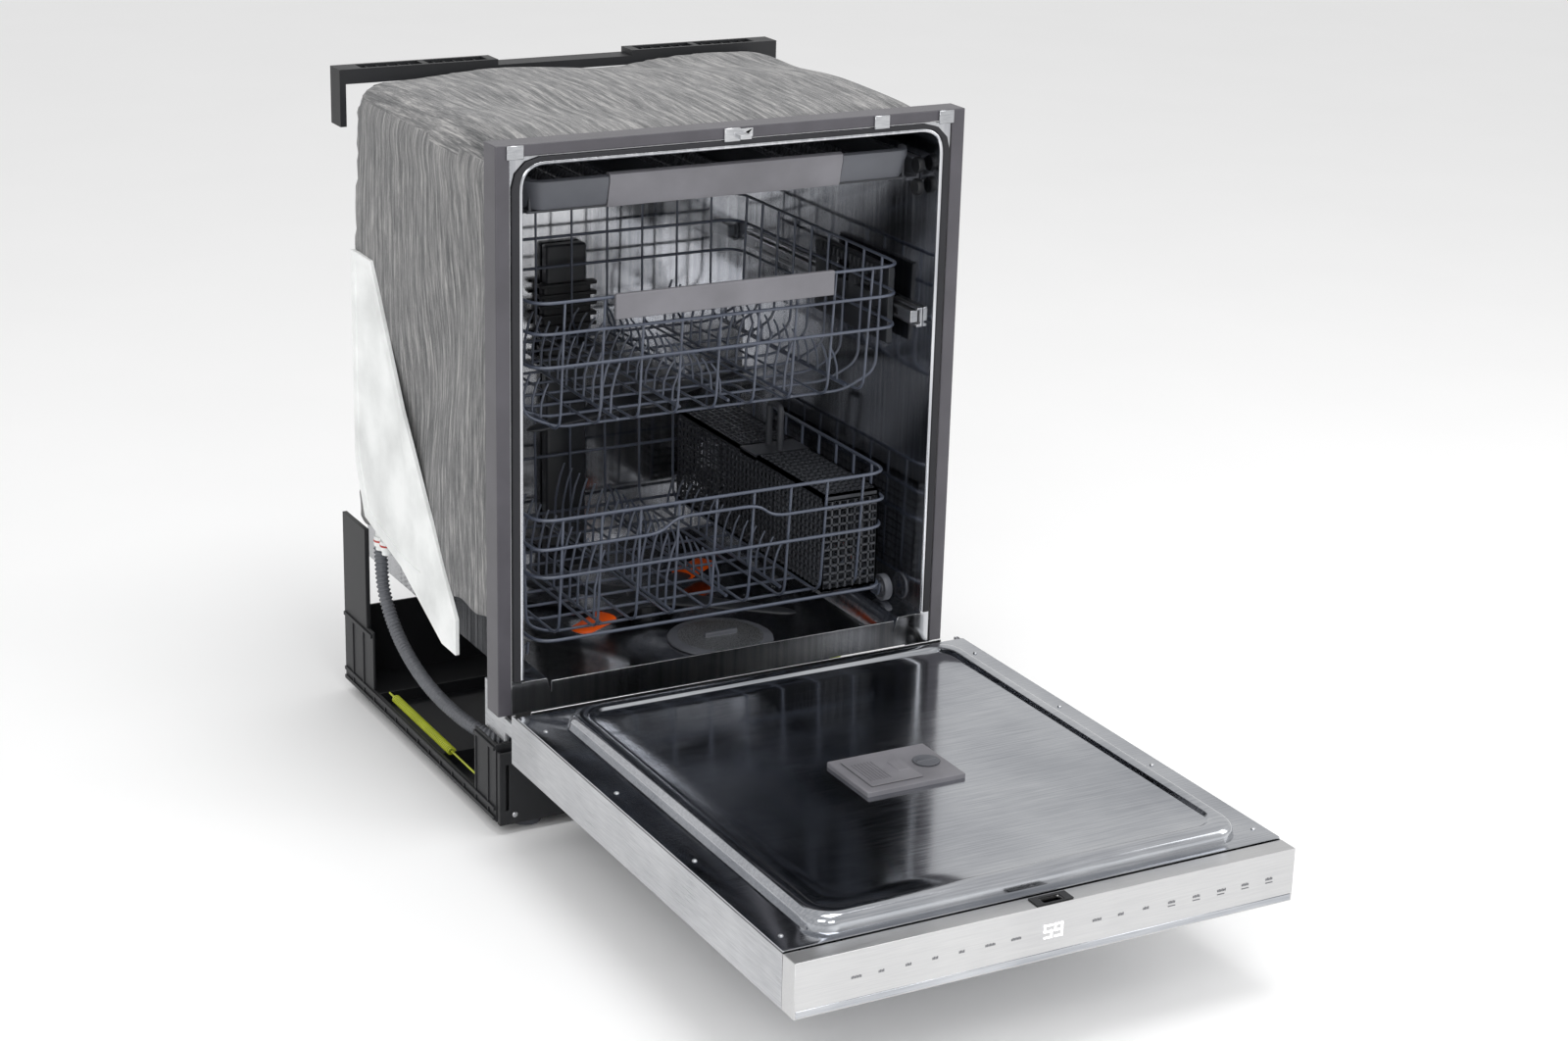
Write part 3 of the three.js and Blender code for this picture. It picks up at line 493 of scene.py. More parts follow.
points, faces = drawn(line, ripple, across, sides=14)
# Corrugated polypropylene: mid grey, satin.
hose_grey = moulded("corrugated_polypropylene", "#6a6c71", 0.42)
piece("drain_hose_ribbed", points, faces, hose_grey, "cabinet", "mid_grey_plastic",
      replaces=("drain_hose",), smooth=60)
for number, y in enumerate((0.508, 0.487)):
    points, faces = turned([(0.0006, 0.03), (0.0075, 0.03), (0.0075, 0.018), (0.0098, 0.018),
                            (0.0098, 0.006),
                            (0.0075, 0.005), (0.0075, 0), (0.0006, 0)], (-0.2815, y, 0.222))
    piece(f"hose_connector_{number + 1}", points, faces, milky, "cabinet", "milky_plastic")
    ring, faces = turned([(0.0078, 0.0), (0.0101, 0.0008), (0.0101, 0.003), (0.0078, 0.0038)],
                         (-0.2815, y, 0.2325))
    seal_red = seal_red if number else moulded("red_silicone_seal", "#b43a34", 0.5)
    piece(f"hose_seal_{number + 1}", ring, faces, seal_red, "cabinet", "rubber")

# Paint on music wire: bright yellow-green, satin.
spring_paint = coated("yellow_green_spring_paint", "#b4bd2c", 0.4, 1500)
for side in ("left", "right"):
    low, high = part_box(f"door_spring_{side}")
    mid_x, mid_z = (low.x + high.x) / 2, (low.z + high.z) / 2
    turns, n = 46, 46 * 12
    a = np.linspace(0, turns * 2 * np.pi, n)
    y = np.linspace(low.y + 0.095, high.y - 0.02, n)
    radial = triples(np.cos(a), 0, np.sin(a))
    coil = triples(mid_x, y, mid_z) + 0.0045 * radial
    parts = [drawn(coil, 0.0011, radial, sides=6),
             drawn([(mid_x, low.y, mid_z), (mid_x, low.y + 0.05, mid_z), (mid_x, low.y + 0.096, mid_z)],
                   0.0013, (1, 0, 0), sides=8),
             drawn([(mid_x, high.y - 0.021, mid_z), (mid_x, high.y - 0.01, mid_z), (mid_x, high.y, mid_z)],
                   0.0013, (1, 0, 0), sides=8)]
    piece(f"door_spring_coil_{side}", *together(parts), spring_paint, "cabinet", "spring_coat",
          replaces=(f"door_spring_{side}",), smooth=70)

# --- Hinges -----------------------------------------------------------------------------------
# A plated bracket on each side of the base holds the door's pivot; a black steel arm inside the
# door's edge turns on it.
for side in ("left", "right"):
    softened(f"hinge_bracket_{side}", 0.0006, plated)
    softened(f"hinge_arm_{side}", 0.0005, black)

# --- Water path in the tub --------------------------------------------------------------------
# A charcoal duct climbs the middle of the back wall and feeds the upper arm through a ribbed
# coupling. The round filter and the lower arm sit in the floor over the sump.
charcoal = moulded("charcoal_glass_filled_polypropylene", "#2a2c30", 0.42)
softened("feed_duct", 0.003, charcoal)
_, duct_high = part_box("feed_duct")
feed_low, feed_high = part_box("upper_spray_feed")
z = np.linspace(feed_low.z - 0.03, feed_high.z + 0.06, 9)
low = triples(-0.04, duct_high.y - 0.024, z)
chamfer(piece("duct_coupling_ribs", *blocks(low, low + (0.08, 0.012, 0.005)), black, "cabinet",
              "black_plastic"), 0.0008)
chamfer(piece("duct_coupling",
              *blocks([(-0.034, duct_high.y - 0.02, z[0])], [(0.034, duct_high.y - 0.004, z[-1] + 0.005)]),
              black, "cabinet", "black_plastic"), 0.004, 3)
softened("upper_spray_feed", 0.003, charcoal)

filter_low, filter_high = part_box("filter_cartridge")
fx, fy = (filter_low.x + filter_high.x) / 2, (filter_low.y + filter_high.y) / 2
softened("filter_cartridge", 0.0012, mid_grey)
# Etched stainless mesh: bright lands round holes set 1.6 mm apart. The holes are painted near black, a
# painted shade standing for the dark seen through them.
mesh_steel = fresh("etched_filter_mesh")
at = add(mesh_steel, "TexCoord")
cell = add(mesh_steel, "TexVoronoi", {"Vector": (at, "Object"), "Scale": 620.0}, feature="F1")
hole_and_shade_mask = add(mesh_steel, "MapRange", {"Value": (cell, 0), "From Min": 0.28, "From Max": 0.42})
# The hole mask gives the holes #18191b as painted shade and the lands bright steel; the same mask dents the
# bump.
colour = add(mesh_steel, "Mix", {0: (hole_and_shade_mask, 0), 6: linear("#18191b"), 7: linear("#b9bbbe")},
             data_type="RGBA")
dent = add(mesh_steel, "Bump", {"Height": (hole_and_shade_mask, 0), "Strength": 0.6, "Distance": 0.0004})
close(mesh_steel, add(mesh_steel, "BsdfPrincipled", {
    "Base Color": (colour, 2), "Metallic": 0.9, "Roughness": 0.35, "Normal": (dent, 0)}))
ring = [(0.0008, 0.1634), (0.02, 0.1636), (0.05, 0.1634), (0.0545, 0.1628), (0.0545, 0.1618),
        (0.02, 0.1618), (0.0008, 0.1618)]
piece("filter_mesh_disc", *turned(ring, (fx, fy, 0), sides=48), mesh_steel, "filter", "plated_steel")

# Orange acetal nozzles cap the short blades of the lower arm.
orange = moulded("orange_acetal", "#e8590c", 0.35)


def blade(centre, reach, angle, low, high, root=0.026, tip=0.011):
    """One hollow blade: an oval of half width w(s) and half height h(s) carried out along s from
    the hub, w falling from root to tip and closing over the last tenth, h easing from the hub's
    height to two thirds of it."""
    s = np.r_[np.linspace(0, 0.9, 16), 0.94, 0.97, 0.99, 1.0]
    shut = np.sqrt(np.clip(1 - np.clip((s - 0.86) / 0.14, 0, 1) ** 2, 0.002, 1))
    w = (tip + (root - tip) * (1 - s) ** 1.6) * shut
    h = ((high - low) / 2 * (0.62 + 0.38 * (1 - s) ** 2)) * np.maximum(shut, 0.25)
    a = np.arange(20) * 2 * np.pi / 20
    oval = np.sign(np.cos(a)) * np.abs(np.cos(a)) ** 0.8, np.sign(np.sin(a)) * np.abs(np.sin(a)) ** 0.8
    along = np.broadcast_to((s * reach)[:, None], (len(s), 20))
    across, up = w[:, None] * oval[0], (low + high) / 2 + h[:, None] * oval[1]
    x = centre[0] + along * math.cos(angle) - across * math.sin(angle)
    y = centre[1] + along * math.sin(angle) + across * math.cos(angle)
    return np.stack([x, y, up], -1).reshape(-1, 3), loft((len(s), 20))


def arm(centre, low, high, blades, hub):
    """Blades about a hub, with raised rims round the jets along each blade."""
    parts = [blade(centre, reach, angle, low + 0.003, high - 0.003) for reach, angle in blades]
    dome = [(0.0008, low), (hub - 0.002, low), (hub, low + 0.002), (hub, high - 0.004),
            (hub - 0.003, high - 0.001),
            (hub * 0.5, high), (hub * 0.45, high - 0.002), (0.0008, high - 0.002)]
    parts.append(turned(dome, (*centre, 0)))
    for reach, angle in blades:
        for share in (0.32, 0.5, 0.68, 0.84):
            x, y = centre[0] + reach * share * math.cos(angle), centre[1] + reach * share * math.sin(angle)
            top = high - 0.003 - (high - low) * 0.19 * min(1, share * 1.6)
            parts.append(turned([(0.0018, top - 0.003), (0.0045, top - 0.003), (0.0040, top + 0.0012),
                                 (0.0022, top + 0.0012), (0.0018, top - 0.001)], (x, y, 0), sides=12))
    return together(parts)


low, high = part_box("lower_spray_arm")
hub = (0.0, (low.y + high.y) / 2)
long_blades, short_blades = [(0.196, 2.4), (0.196, 2.4 + math.pi)], [(0.118, 0.56), (0.118, 0.56 + math.pi)]
piece("lower_arm_body", *arm(hub, low.z, high.z, long_blades + short_blades, 0.024), charcoal, "lower_arm",
      "charcoal_plastic", replaces=("lower_spray_arm",))
caps = []
for angle in (0.56, 0.56 + math.pi):
    start = (hub[0] + 0.092 * math.cos(angle), hub[1] + 0.092 * math.sin(angle))
    caps.append(blade(start, 0.062, angle, low.z + 0.003, high.z - 0.0015, root=0.0165, tip=0.015))
piece("lower_arm_nozzles", *together(caps), orange, "lower_arm", "charcoal_plastic")

low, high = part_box("upper_spray_arm")
upper_hub = (0.0, (low.y + high.y) / 2)
piece("upper_arm_body", *arm(upper_hub, low.z, high.z, [(0.198, 0.35), (0.198, 0.35 + math.pi)], 0.022),
      charcoal, "upper_arm", "charcoal_plastic", replaces=("upper_spray_arm",))

# --- Rails on the tub walls -------------------------------------------------------------------
# Telescopic steel rails carry the upper rack; moulded rails with rollers carry the third one.
for side in ("left", "right"):
    softened(f"upper_rail_{side}", 0.0006, plated)
    softened(f"rail_slide_{side}", 0.0006, plated)
    softened(f"third_rail_{side}", 0.0008, mid_grey)
rail_low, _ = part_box("third_rail_left")
for side, s in (("left", -1), ("right", 1)):
    rollers = []
    for z in (rail_low.z + 0.0205, rail_low.z - 0.006):
        profile = [(0.0022, -0.004), (0.009, -0.004), (0.0098, -0.0028), (0.0098, 0.0028), (0.009, 0.004),
                   (0.0022, 0.004)]
        rollers.append(turned(profile, (s * 0.259, front + 0.034, z), axis=0, sides=24))
    piece(f"third_rail_rollers_{side}", *together(rollers), black, "cabinet", "black_plastic")

# --- Door ------------------------------------------------------------------------------------
# The door is a folded steel pan. Its outer skin is brushed stainless; its inner face is one bright
# pressing whose raised plug, with a rolled lip, enters the tub's mouth when the door is shut.
door_steel = rolled_steel("brushed_ferritic_stainless", "#cfd0d2", "#a3a4a8", 0.3, (900, 30, 900), 0.25)
softened("door_panel", 0.001, door_steel)
# The same sheet as the tub, polished brighter: it mirrors what hangs over it.
plug_steel = rolled_steel("mirror_annealed_stainless", "#c6c8cc", "#9da0a6", 0.12, (14, 500, 500), 0.05)

liner_low, liner_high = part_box("door_liner")
strip_low, strip_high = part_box("control_strip")
hinge_y = liner_high.y + 0.02


def outline(centre, half, radius, steps=10):
    """A rounded rectangle of half sizes (hx, hy): each corner is a quarter circle of the radius
    about (+-(hx - r), +-(hy - r)), stepped evenly."""
    a = np.linspace(0, np.pi / 2, steps)
    sign = np.array([(1, 1), (-1, 1), (-1, -1), (1, -1)])
    turn = (np.arange(4) * np.pi / 2)[:, None] + a
    flat = sign[:, None] * (np.asarray(half) - radius) + radius * np.stack([np.cos(turn), np.sin(turn)], -1)
    return (flat + centre).reshape(-1, 2)


def pressing(rings):
    """A pressed sheet: each ring is an outline at its own height, and the last one is closed."""
    points = np.vstack([np.column_stack([outline(c, h, r), np.full(40, z)]) for c, h, r, z in rings])
    faces = loft((len(rings), 40), capped=False)
    return points, faces + [list(range((len(rings) - 1) * 40, len(rings) * 40))]


sheet_c = (0.0, (liner_low.y + liner_high.y) / 2)
sheet_h = np.array([liner_high.x - 0.0005, (liner_high.y - liner_low.y) / 2])
plug_front, plug_back = hinge_y - 0.640, hinge_y - 0.052
plug_c = (0.0, (plug_front + plug_back) / 2)
plug_h = np.array([0.258, (plug_back - plug_front) / 2])
base, crest = liner_high.z - 0.018, liner_high.z
rings = [(sheet_c, sheet_h, 0.002, base - 0.0015), (sheet_c, sheet_h - 0.0005, 0.002, base),
         (plug_c, plug_h + 0.004, 0.032, base), (plug_c, plug_h + 0.001, 0.03, base + 0.0012)]
rings += [(plug_c, plug_h - 0.010 * (1 - math.cos(a)), 0.03, crest - 0.011 * (1 - math.sin(a)))
          for a in np.linspace(0, math.pi / 2, 7)]
rings += [(plug_c, plug_h - 0.016, 0.028, crest), (plug_c, plug_h - 0.019, 0.027, crest - 0.0010),
          (plug_c, plug_h - 0.0215, 0.026, crest - 0.0034), (plug_c, plug_h - 0.024, 0.025, crest - 0.0044),
          (plug_c, plug_h - 0.05, 0.02, crest - 0.0044)]
points, faces = pressing(rings)
liner = piece("door_liner_pressing", points, faces, plug_steel, "door", "stainless",
              replaces=("door_liner",), smooth=50)
gauge = liner.modifiers.new("sheet_gauge", "SOLIDIFY")
gauge.thickness = 0.0012
low, high = [], []
for s in (-1, 1):
    a, b = sorted((s * (sheet_h[0] - 0.004), s * (sheet_h[0] - 0.0015)))
    low.append((a, strip_high.y + 0.02, base - 0.022))
    high.append((b, liner_high.y, base - 0.001))
piece("door_liner_returns", *blocks(low, high), plug_steel, "door", "stainless")
screws("door_edge_screws", [(s * (liner_high.x - 0.014), y, base) for s in (-1, 1)
                            for y in np.linspace(strip_high.y + 0.03, liner_high.y - 0.05, 4)],
       2, 1, plated, "door", "plated_steel", 0.8)

# --- Control strip ---------------------------------------------------------------------------
# A lighter satin stainless cap closes the door's free edge. A lit two-digit read-out shines
# through its middle, and dark printed bars stand for the legends beside it.
strip_steel = rolled_steel("satin_stainless_cap", "#d2d2d2", "#c2c2c3", 0.34, (25, 900, 900), 0.08)
softened("control_strip", 0.0008, strip_steel, pierced=True)
softened("door_latch", 0.0006, black)
face = strip_low.y
mid = (strip_low.z + strip_high.z) / 2 + 0.001
lit = fresh("lit_digit_window")
at = add(lit, "TexCoord")
spread_noise = add(lit, "TexNoise", {"Vector": (at, "Object"), "Scale": 800.0})
tint = tinted(lit, "#fdfdff", spread_noise, 0.93, 1.0, 0, 1)
close(lit, add(lit, "BsdfPrincipled", {"Base Color": (tint, 2), "Roughness": 0.4,
                                       "Emission Color": linear("#ffffff"), "Emission Strength": 1.1}))
segments = {"5": "afgcd", "9": "abcdfg"}
shape = {"a": (0, 8, 6, 9), "g": (0, 4, 6, 5), "d": (0, 0, 6, 1), "f": (0, 4, 1, 9), "b": (5, 4, 6, 9),
         "c": (5, 0, 6, 5)}
low, high = [], []
for digit, x in (("5", -0.0135), ("9", -0.001)):
    for key in segments[digit]:
        x0, z0, x1, z1 = shape[key]
        low.append((x + x0 * 0.00165, face - 0.0007, mid - 0.0075 + z0 * 0.00165))
        high.append((x + x1 * 0.00165, face + 0.0005, mid - 0.0075 + z1 * 0.00165))
piece("time_digits", *blocks(low, high), lit, "door", "pale_grey_plastic")
# Screen-printed ink: a thin satin film, very slightly raised.
ink = coated("screen_printed_ink", "#6a6b6f", 0.6, 3000, 0.0)
rng = np.random.default_rng(3)
left, right = np.linspace(-0.235, -0.052, 7), np.linspace(0.045, 0.262, 8)
low, high = [], []
for row, (x, wide) in enumerate([(x, 0.012) for x in left] + [(x, 0.013) for x in right]):
    letters = int(rng.integers(4, 8))
    for n in range(letters):
        x0 = x + n * wide / 7
        low.append((x0, face - 0.0003, mid - 0.0012))
        high.append((x0 + wide / 7 * 0.62, face + 0.0004, mid + 0.0012 + 0.0006 * (n % 2)))
    if row > 9:
        low.append((x, face - 0.0003, mid - 0.0046))
        high.append((x + wide * 0.7, face + 0.0004, mid - 0.0036))
piece("strip_legends", *blocks(low, high), ink, "door", "charcoal_plastic")
low, high = blocks([(strip_low.x + 0.002, face - 0.0006, strip_low.z + 0.001)],
                   [(strip_high.x - 0.002, face + 0.001, strip_low.z + 0.0085)])
chamfer(piece("strip_lower_trim", low, high, plug_steel, "door", "stainless"), 0.0005)

# --- Detergent dispenser ---------------------------------------------------------------------
# A pale grey moulding clamped through the plug holds the powder cup with its sliding lid and
# the rinse-aid cap that turns a quarter to open.
pale_grey = moulded("pale_grey_moulded_abs", "#737277", 0.4)
softened("dispenser", 0.0015, pale_grey, segments=3)
softened("detergent_lid", 0.0005, pale_grey)
softened("rinse_cap", 0.0005, mid_grey)
low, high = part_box("detergent_lid")
x = np.linspace(low.x + 0.006, low.x + 0.03, 7)
points, faces = blocks(triples(x, low.y + 0.012, high.z - 0.0012),
                       triples(x + 0.0012, high.y - 0.012, high.z - 0.0004))
piece("lid_finger_ribs", points, faces, pale_grey, "detergent_lid", "pale_grey_plastic")
low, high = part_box("rinse_cap")
a = np.arange(24) * 2 * np.pi / 24
knurl = [drawn([(low.x + 0.015 + 0.0148 * math.cos(t), (low.y + high.y) / 2 + 0.0148 * math.sin(t),
                 high.z - 0.0024),
                (low.x + 0.015 + 0.0148 * math.cos(t), (low.y + high.y) / 2 + 0.0148 * math.sin(t),
                 high.z - 0.001)],
               0.0006, (math.cos(t), math.sin(t), 0), sides=6) for t in a]
piece("rinse_cap_knurl", *together(knurl), mid_grey, "rinse_cap", "mid_grey_plastic")

# --- Third rack ------------------------------------------------------------------------------
# A shallow charcoal tray for flat cutlery. Its floor is a lattice with rows of small teeth, two
# tall walls divide it, and a wide fascia with a pale middle part closes its front.
tray = moulded("charcoal_satin_polypropylene", "#3b3d42", 0.45)
low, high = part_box("third_tray")
in_x, y0, y1, floor_z = 0.242, low.y + 0.013, high.y - 0.003, low.z + 0.0005
bars_y, bars_x = np.linspace(-in_x, in_x, 46), np.linspace(y0, y1, 30)
lo = [triples(bars_y - 0.0011, y0, floor_z), triples(-in_x, bars_x - 0.0011, floor_z + 0.0004)]
hi = [triples(bars_y + 0.0011, y1, floor_z + 0.0034), triples(in_x, bars_x + 0.0011, floor_z + 0.0028)]
piece("third_tray_lattice", *blocks(np.vstack(lo), np.vstack(hi)), tray, "third_rack", "charcoal_plastic",
      replaces=("third_tray",))
# Teeth stand 9 mm above the lattice in pairs of rows, leaning alternately.
rows = [x for x in np.arange(-0.225, 0.23, 0.03) if min(abs(abs(x) - 0.0735), 1) > 0.008]
tx, ty = np.meshgrid(rows, np.arange(y0 + 0.014, y1 - 0.01, 0.0085), indexing="ij")
tx, ty = tx.ravel(), ty.ravel()
n = len(tx)
points = np.stack([triples(tx + dx, ty + dy, floor_z + dz) for dx, dy, dz in (
    (-0.0035, -0.001, 0.003), (0.0035, -0.001, 0.003), (0.0035, 0.001, 0.003), (-0.0035, 0.001, 0.003),
    (-0.0005, -0.0005, 0.0125), (0.0015, -0.0005, 0.0125), (0.0015, 0.0005, 0.0125),
    (-0.0005, 0.0005, 0.0125))], 1)
sides = np.array([[0, 3, 2, 1], [4, 5, 6, 7], [0, 1, 5, 4], [1, 2, 6, 5], [2, 3, 7, 6], [3, 0, 4, 7]])
faces = (sides[None] + 8 * np.arange(n)[:, None, None]).reshape(-1, 4).tolist()
piece("third_tray_teeth", points.reshape(-1, 3), faces, tray, "third_rack", "charcoal_plastic")


def wall(path, profile, way=(0, 0, 1)):
    """A moulded wall: the profile, (outwards, upwards) from the path, is carried along a level
    path; outwards is the path's direction turned a quarter clockwise."""
    path = np.asarray(path, float)
    tangent = np.gradient(path, axis=0)
    out = np.cross(tangent, way)
    out /= np.linalg.norm(out, axis=1, keepdims=True)
    p = np.asarray(profile, float)
    points = path[:, None] + p[None, :, :1] * out[:, None] + p[None, :, 1:] * np.asarray(way, float)
    return points.reshape(-1, 3), loft((len(path), len(p)))


side_wall = [(-0.0012, 0), (0.0012, 0), (0.0012, 0.029), (0.0035, 0.030), (0.0035, 0.032), (-0.0012, 0.032)]
around = bent([(in_x - 0.002, y0, floor_z), (in_x - 0.002, y1, floor_z), (-in_x + 0.002, y1, floor_z),
               (-in_x + 0.002, y0, floor_z)], 0.012)
middle = [(-0.0013, 0), (0.0013, 0), (0.0010, 0.0355), (-0.0010, 0.0355)]
walls = [wall(around, side_wall)]
walls += [wall([(s * 0.0735, y0, floor_z), (s * 0.0735, (y0 + y1) / 2, floor_z),
                (s * 0.0735, y1, floor_z)], middle) for s in (-1, 1)]
piece("third_tray_walls", *together(walls), tray, "third_rack", "charcoal_plastic")
points, faces = blocks([(-0.260, y0 + 0.03, floor_z + 0.001), (0.2432, y0 + 0.03, floor_z + 0.001)],
                       [(-0.2432, y1 - 0.007, floor_z + 0.0048), (0.260, y1 - 0.007, floor_z + 0.0048)])
chamfer(piece("third_tray_runners", points, faces, tray, "third_rack", "charcoal_plastic"), 0.0006)

trim_low, trim_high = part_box("third_trim")
# The fascia's section leans back towards its foot under a rolled top edge.
tall = trim_high.z - trim_low.z
section = [(-0.010, tall - 0.004), (-0.008, tall - 0.0005), (-0.003, tall), (0.001, tall - 0.002),
           (0.0012, tall - 0.010),
           (-0.0016, tall * 0.5), (-0.0046, 0.004), (-0.007, 0.0), (-0.009, 0.001), (-0.0066, 0.006),
           (-0.0042, tall * 0.5),
           (-0.0022, tall - 0.012), (-0.004, tall - 0.006)]
x = np.linspace(0.149, -0.149, 41)
path = triples(-x, trim_low.y + 0.0012, trim_low.z)
piece("third_trim_fascia", *wall(path, section), pale_grey, "third_rack", "pale_grey_plastic",
      replaces=("third_trim",), smooth=50)
for side, s in (("left", -1), ("right", 1)):
    x = np.linspace(0.150, 0.2485, 30)
    y = trim_low.y + 0.002 + 0.024 * np.clip((x - 0.225) / 0.0235, 0, 1) ** 2.4
    path = triples(s * x, y, trim_low.z + 0.003)[::s]
    wing = np.array(section) * (1, 0.86)
    piece(f"third_trim_wing_{side}", *wall(path, wing), mid_grey, "third_rack", "charcoal_plastic",
          smooth=50)

# --- Upper rack ------------------------------------------------------------------------------
# Steel wires, bent to U shapes both ways and welded to closed rims, dipped in blue-grey nylon.
# A grey handle bar is clipped to its front rim, and a height adjuster to each side.
# Fluid-bed nylon on steel wire: smooth, blue-grey, with a soft skin gloss.
nylon = coated("nylon_dipped_wire", "#4c5260", 0.3, 1800, 0.3)


def rim(x, y0, y1, z, radius=0.03):
    """A closed level wire round the rack with bent corners."""
    return bent([(-x, y0, z), (x, y0, z), (x, y1, z), (-x, y1, z)], radius, closed=True, steps=8)


low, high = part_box("upper_basket")
reach, yf, yb = high.x - 0.0024, low.y + 0.0022, high.y - 0.0022
floor_z, top_z = low.z + 0.0022, high.z - 0.0012
wires = [drawn(rim(reach, yf, yb, z), 0.002, (0, 0, 1), 8, closed=True)
         for z in (top_z, top_z - 0.036, top_z - 0.075)]
for x in np.linspace(-0.2, 0.2, 9):
    lean = 0.012
    u = [(x, yf + 0.002, top_z), (x, yf + 0.004 + lean, floor_z + 0.0035),
         (x, yb - 0.004, floor_z + 0.0035), (x, yb - 0.002, top_z)]
    wires.append(drawn(bent(u, 0.022), 0.0016, (1, 0, 0), 7))
for y in np.linspace(yf + 0.045, yb - 0.03, 9):
    dip = 0.020
    u = [(-reach + 0.002, y, top_z), (-reach + 0.006, y, floor_z + dip), (-reach + 0.05, y, floor_z),
         (-0.04, y, floor_z), (0.04, y, floor_z), (reach - 0.05, y, floor_z),
         (reach - 0.006, y, floor_z + dip), (reach - 0.002, y, top_z)]
    wires.append(drawn(bent(u, 0.016), 0.0018, (0, 1, 0), 7))
piece("upper_rack_wires", *together(wires), nylon, "upper_rack", "coated_wire", replaces=("upper_basket",),
      smooth=70)


def tines(x, y0, y1, z, tall, count, lean, radius=0.0017):
    """A row of tines on one long wire: each rises from the wire, leaning by so much at its tip."""
    row = [drawn([(x, y0, z), (x, (y0 + y1) / 2, z), (x, y1, z)], 0.0021, (1, 0, 0), 8)]
    for y in np.linspace(y0 + 0.02, y1 - 0.02, count):
        row.append(drawn([(x, y, z), (x + lean * 0.1, y, z + tall * 0.45),
                          (x + lean * 0.55, y, z + tall * 0.8), (x + lean, y, z + tall)],
                         np.array([radius, radius, radius, radius * 0.8]), (0, 1, 0), 7))
    return together(row)


for name, spot, lean in (("left", -0.120, 0.012), ("right", 0.110, 0.010)):
    low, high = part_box(f"upper_tines_{name}")
    piece(f"upper_tine_row_{name}",
          *tines(spot, low.y, high.y, low.z + 0.0022, high.z - low.z - 0.003, 14, lean), nylon,
          f"upper_tines_{name}", "coated_wire", replaces=(f"upper_tines_{name}",), smooth=70)
fixed = [tines(x, yf + 0.05, yb - 0.04, floor_z + 0.004, 0.042, 13, lean, 0.0015) for x,
         lean in ((-0.03, 0.014), (0.035, -0.014), (-0.2, 0.01), (0.195, -0.01))]
piece("upper_fixed_tines", *together(fixed), nylon, "upper_rack", "coated_wire", smooth=70)

softened("upper_handle", 0.0016, pale_grey, segments=3)
softened("adjuster_left", 0.0010, mid_grey)
softened("adjuster_right", 0.0010, charcoal)
for side, s, look, finish in (("left", -1, mid_grey, "mid_grey_plastic"),
                              ("right", 1, charcoal, "charcoal_plastic")):
    low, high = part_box(f"adjuster_{side}")
    y = np.linspace(low.y + 0.012, high.y - 0.012, 16)
    x_in = low.x if s > 0 else high.x
    a, b = x_in - 0.0035 * (s > 0), x_in + 0.0035 * (s < 0)
    grip = (triples(a, y - 0.0022, high.z - 0.013), triples(b, y + 0.0022, high.z - 0.002))
    z = np.linspace(low.z + 0.006, low.z + 0.04, 9)
    comb = (triples(a, low.y + 0.01, z - 0.0011), triples(b, low.y + 0.026, z + 0.0011))
    chamfer(piece(f"adjuster_ribs_{side}",
                  *blocks(np.vstack([grip[0], comb[0]]), np.vstack([grip[1], comb[1]])), look,
                  "upper_rack", finish), 0.0005)

# --- Lower rack ------------------------------------------------------------------------------
# The same dipped wire, heavier, with three rims; the middle one steps up across the front.
low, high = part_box("lower_basket")
reach, yf, yb = 0.234, low.y + 0.0022, high.y - 0.0022
floor_z, top_z = 0.215, high.z - 0.0012
wires = [drawn(rim(reach, yf, yb, z), 0.0022, (0, 0, 1), 8, closed=True)
         for z in (top_z, top_z - 0.070, floor_z + 0.004)]
step = [(reach, yb - 0.04, top_z - 0.035), (reach, yf, top_z - 0.035), (0.075, yf, top_z - 0.035),
        (0.055, yf, top_z - 0.018),
        (-0.055, yf, top_z - 0.018), (-0.075, yf, top_z - 0.035), (-reach, yf, top_z - 0.035),
        (-reach, yb - 0.04, top_z - 0.035)]
wires.append(drawn(bent(step, 0.02), 0.0021, (0, 0, 1), 8))
for x in np.linspace(-0.2, 0.2, 9):
    u = [(x, yf + 0.002, top_z), (x, yf + 0.014, floor_z + 0.003), (x, yb - 0.006, floor_z + 0.003),
         (x, yb - 0.002, top_z)]
    wires.append(drawn(bent(u, 0.02), 0.0018, (1, 0, 0), 7))
for y in np.linspace(yf + 0.04, yb - 0.03, 9):
    u = [(-reach + 0.0004, y, top_z), (-reach + 0.004, y, floor_z + 0.012),
         (-reach + 0.035, y, floor_z - 0.001), (reach - 0.035, y, floor_z - 0.001),
         (reach - 0.004, y, floor_z + 0.012), (reach - 0.0004, y, top_z)]
    wires.append(drawn(bent(u, 0.014), 0.0019, (0, 1, 0), 7))
wheel_boxes = {name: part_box(name) for name in frame["nodes"] if name.startswith("wheel_")}
for name, (lo, hi) in wheel_boxes.items():
    s = 1 if lo.x > 0 else -1
    cy, cz = (lo.y + hi.y) / 2, (lo.z + hi.z) / 2
    wires.append(drawn([(s * 0.233, cy, cz), (s * 0.245, cy, cz), (s * 0.2555, cy, cz)], 0.0036, (0, 0, 1),
                       12))
    plate = bent([(s * 0.2375, cy - 0.011, floor_z), (s * 0.2375, cy - 0.008, cz - 0.006),
                  (s * 0.2375, cy + 0.008, cz - 0.006), (s * 0.2375, cy + 0.011, floor_z)], 0.004)
    wires.append(drawn(plate, 0.0018, (1, 0, 0), 7))
piece("lower_rack_wires", *together(wires), nylon, "lower_rack", "coated_wire", replaces=("lower_basket",),
      smooth=70)
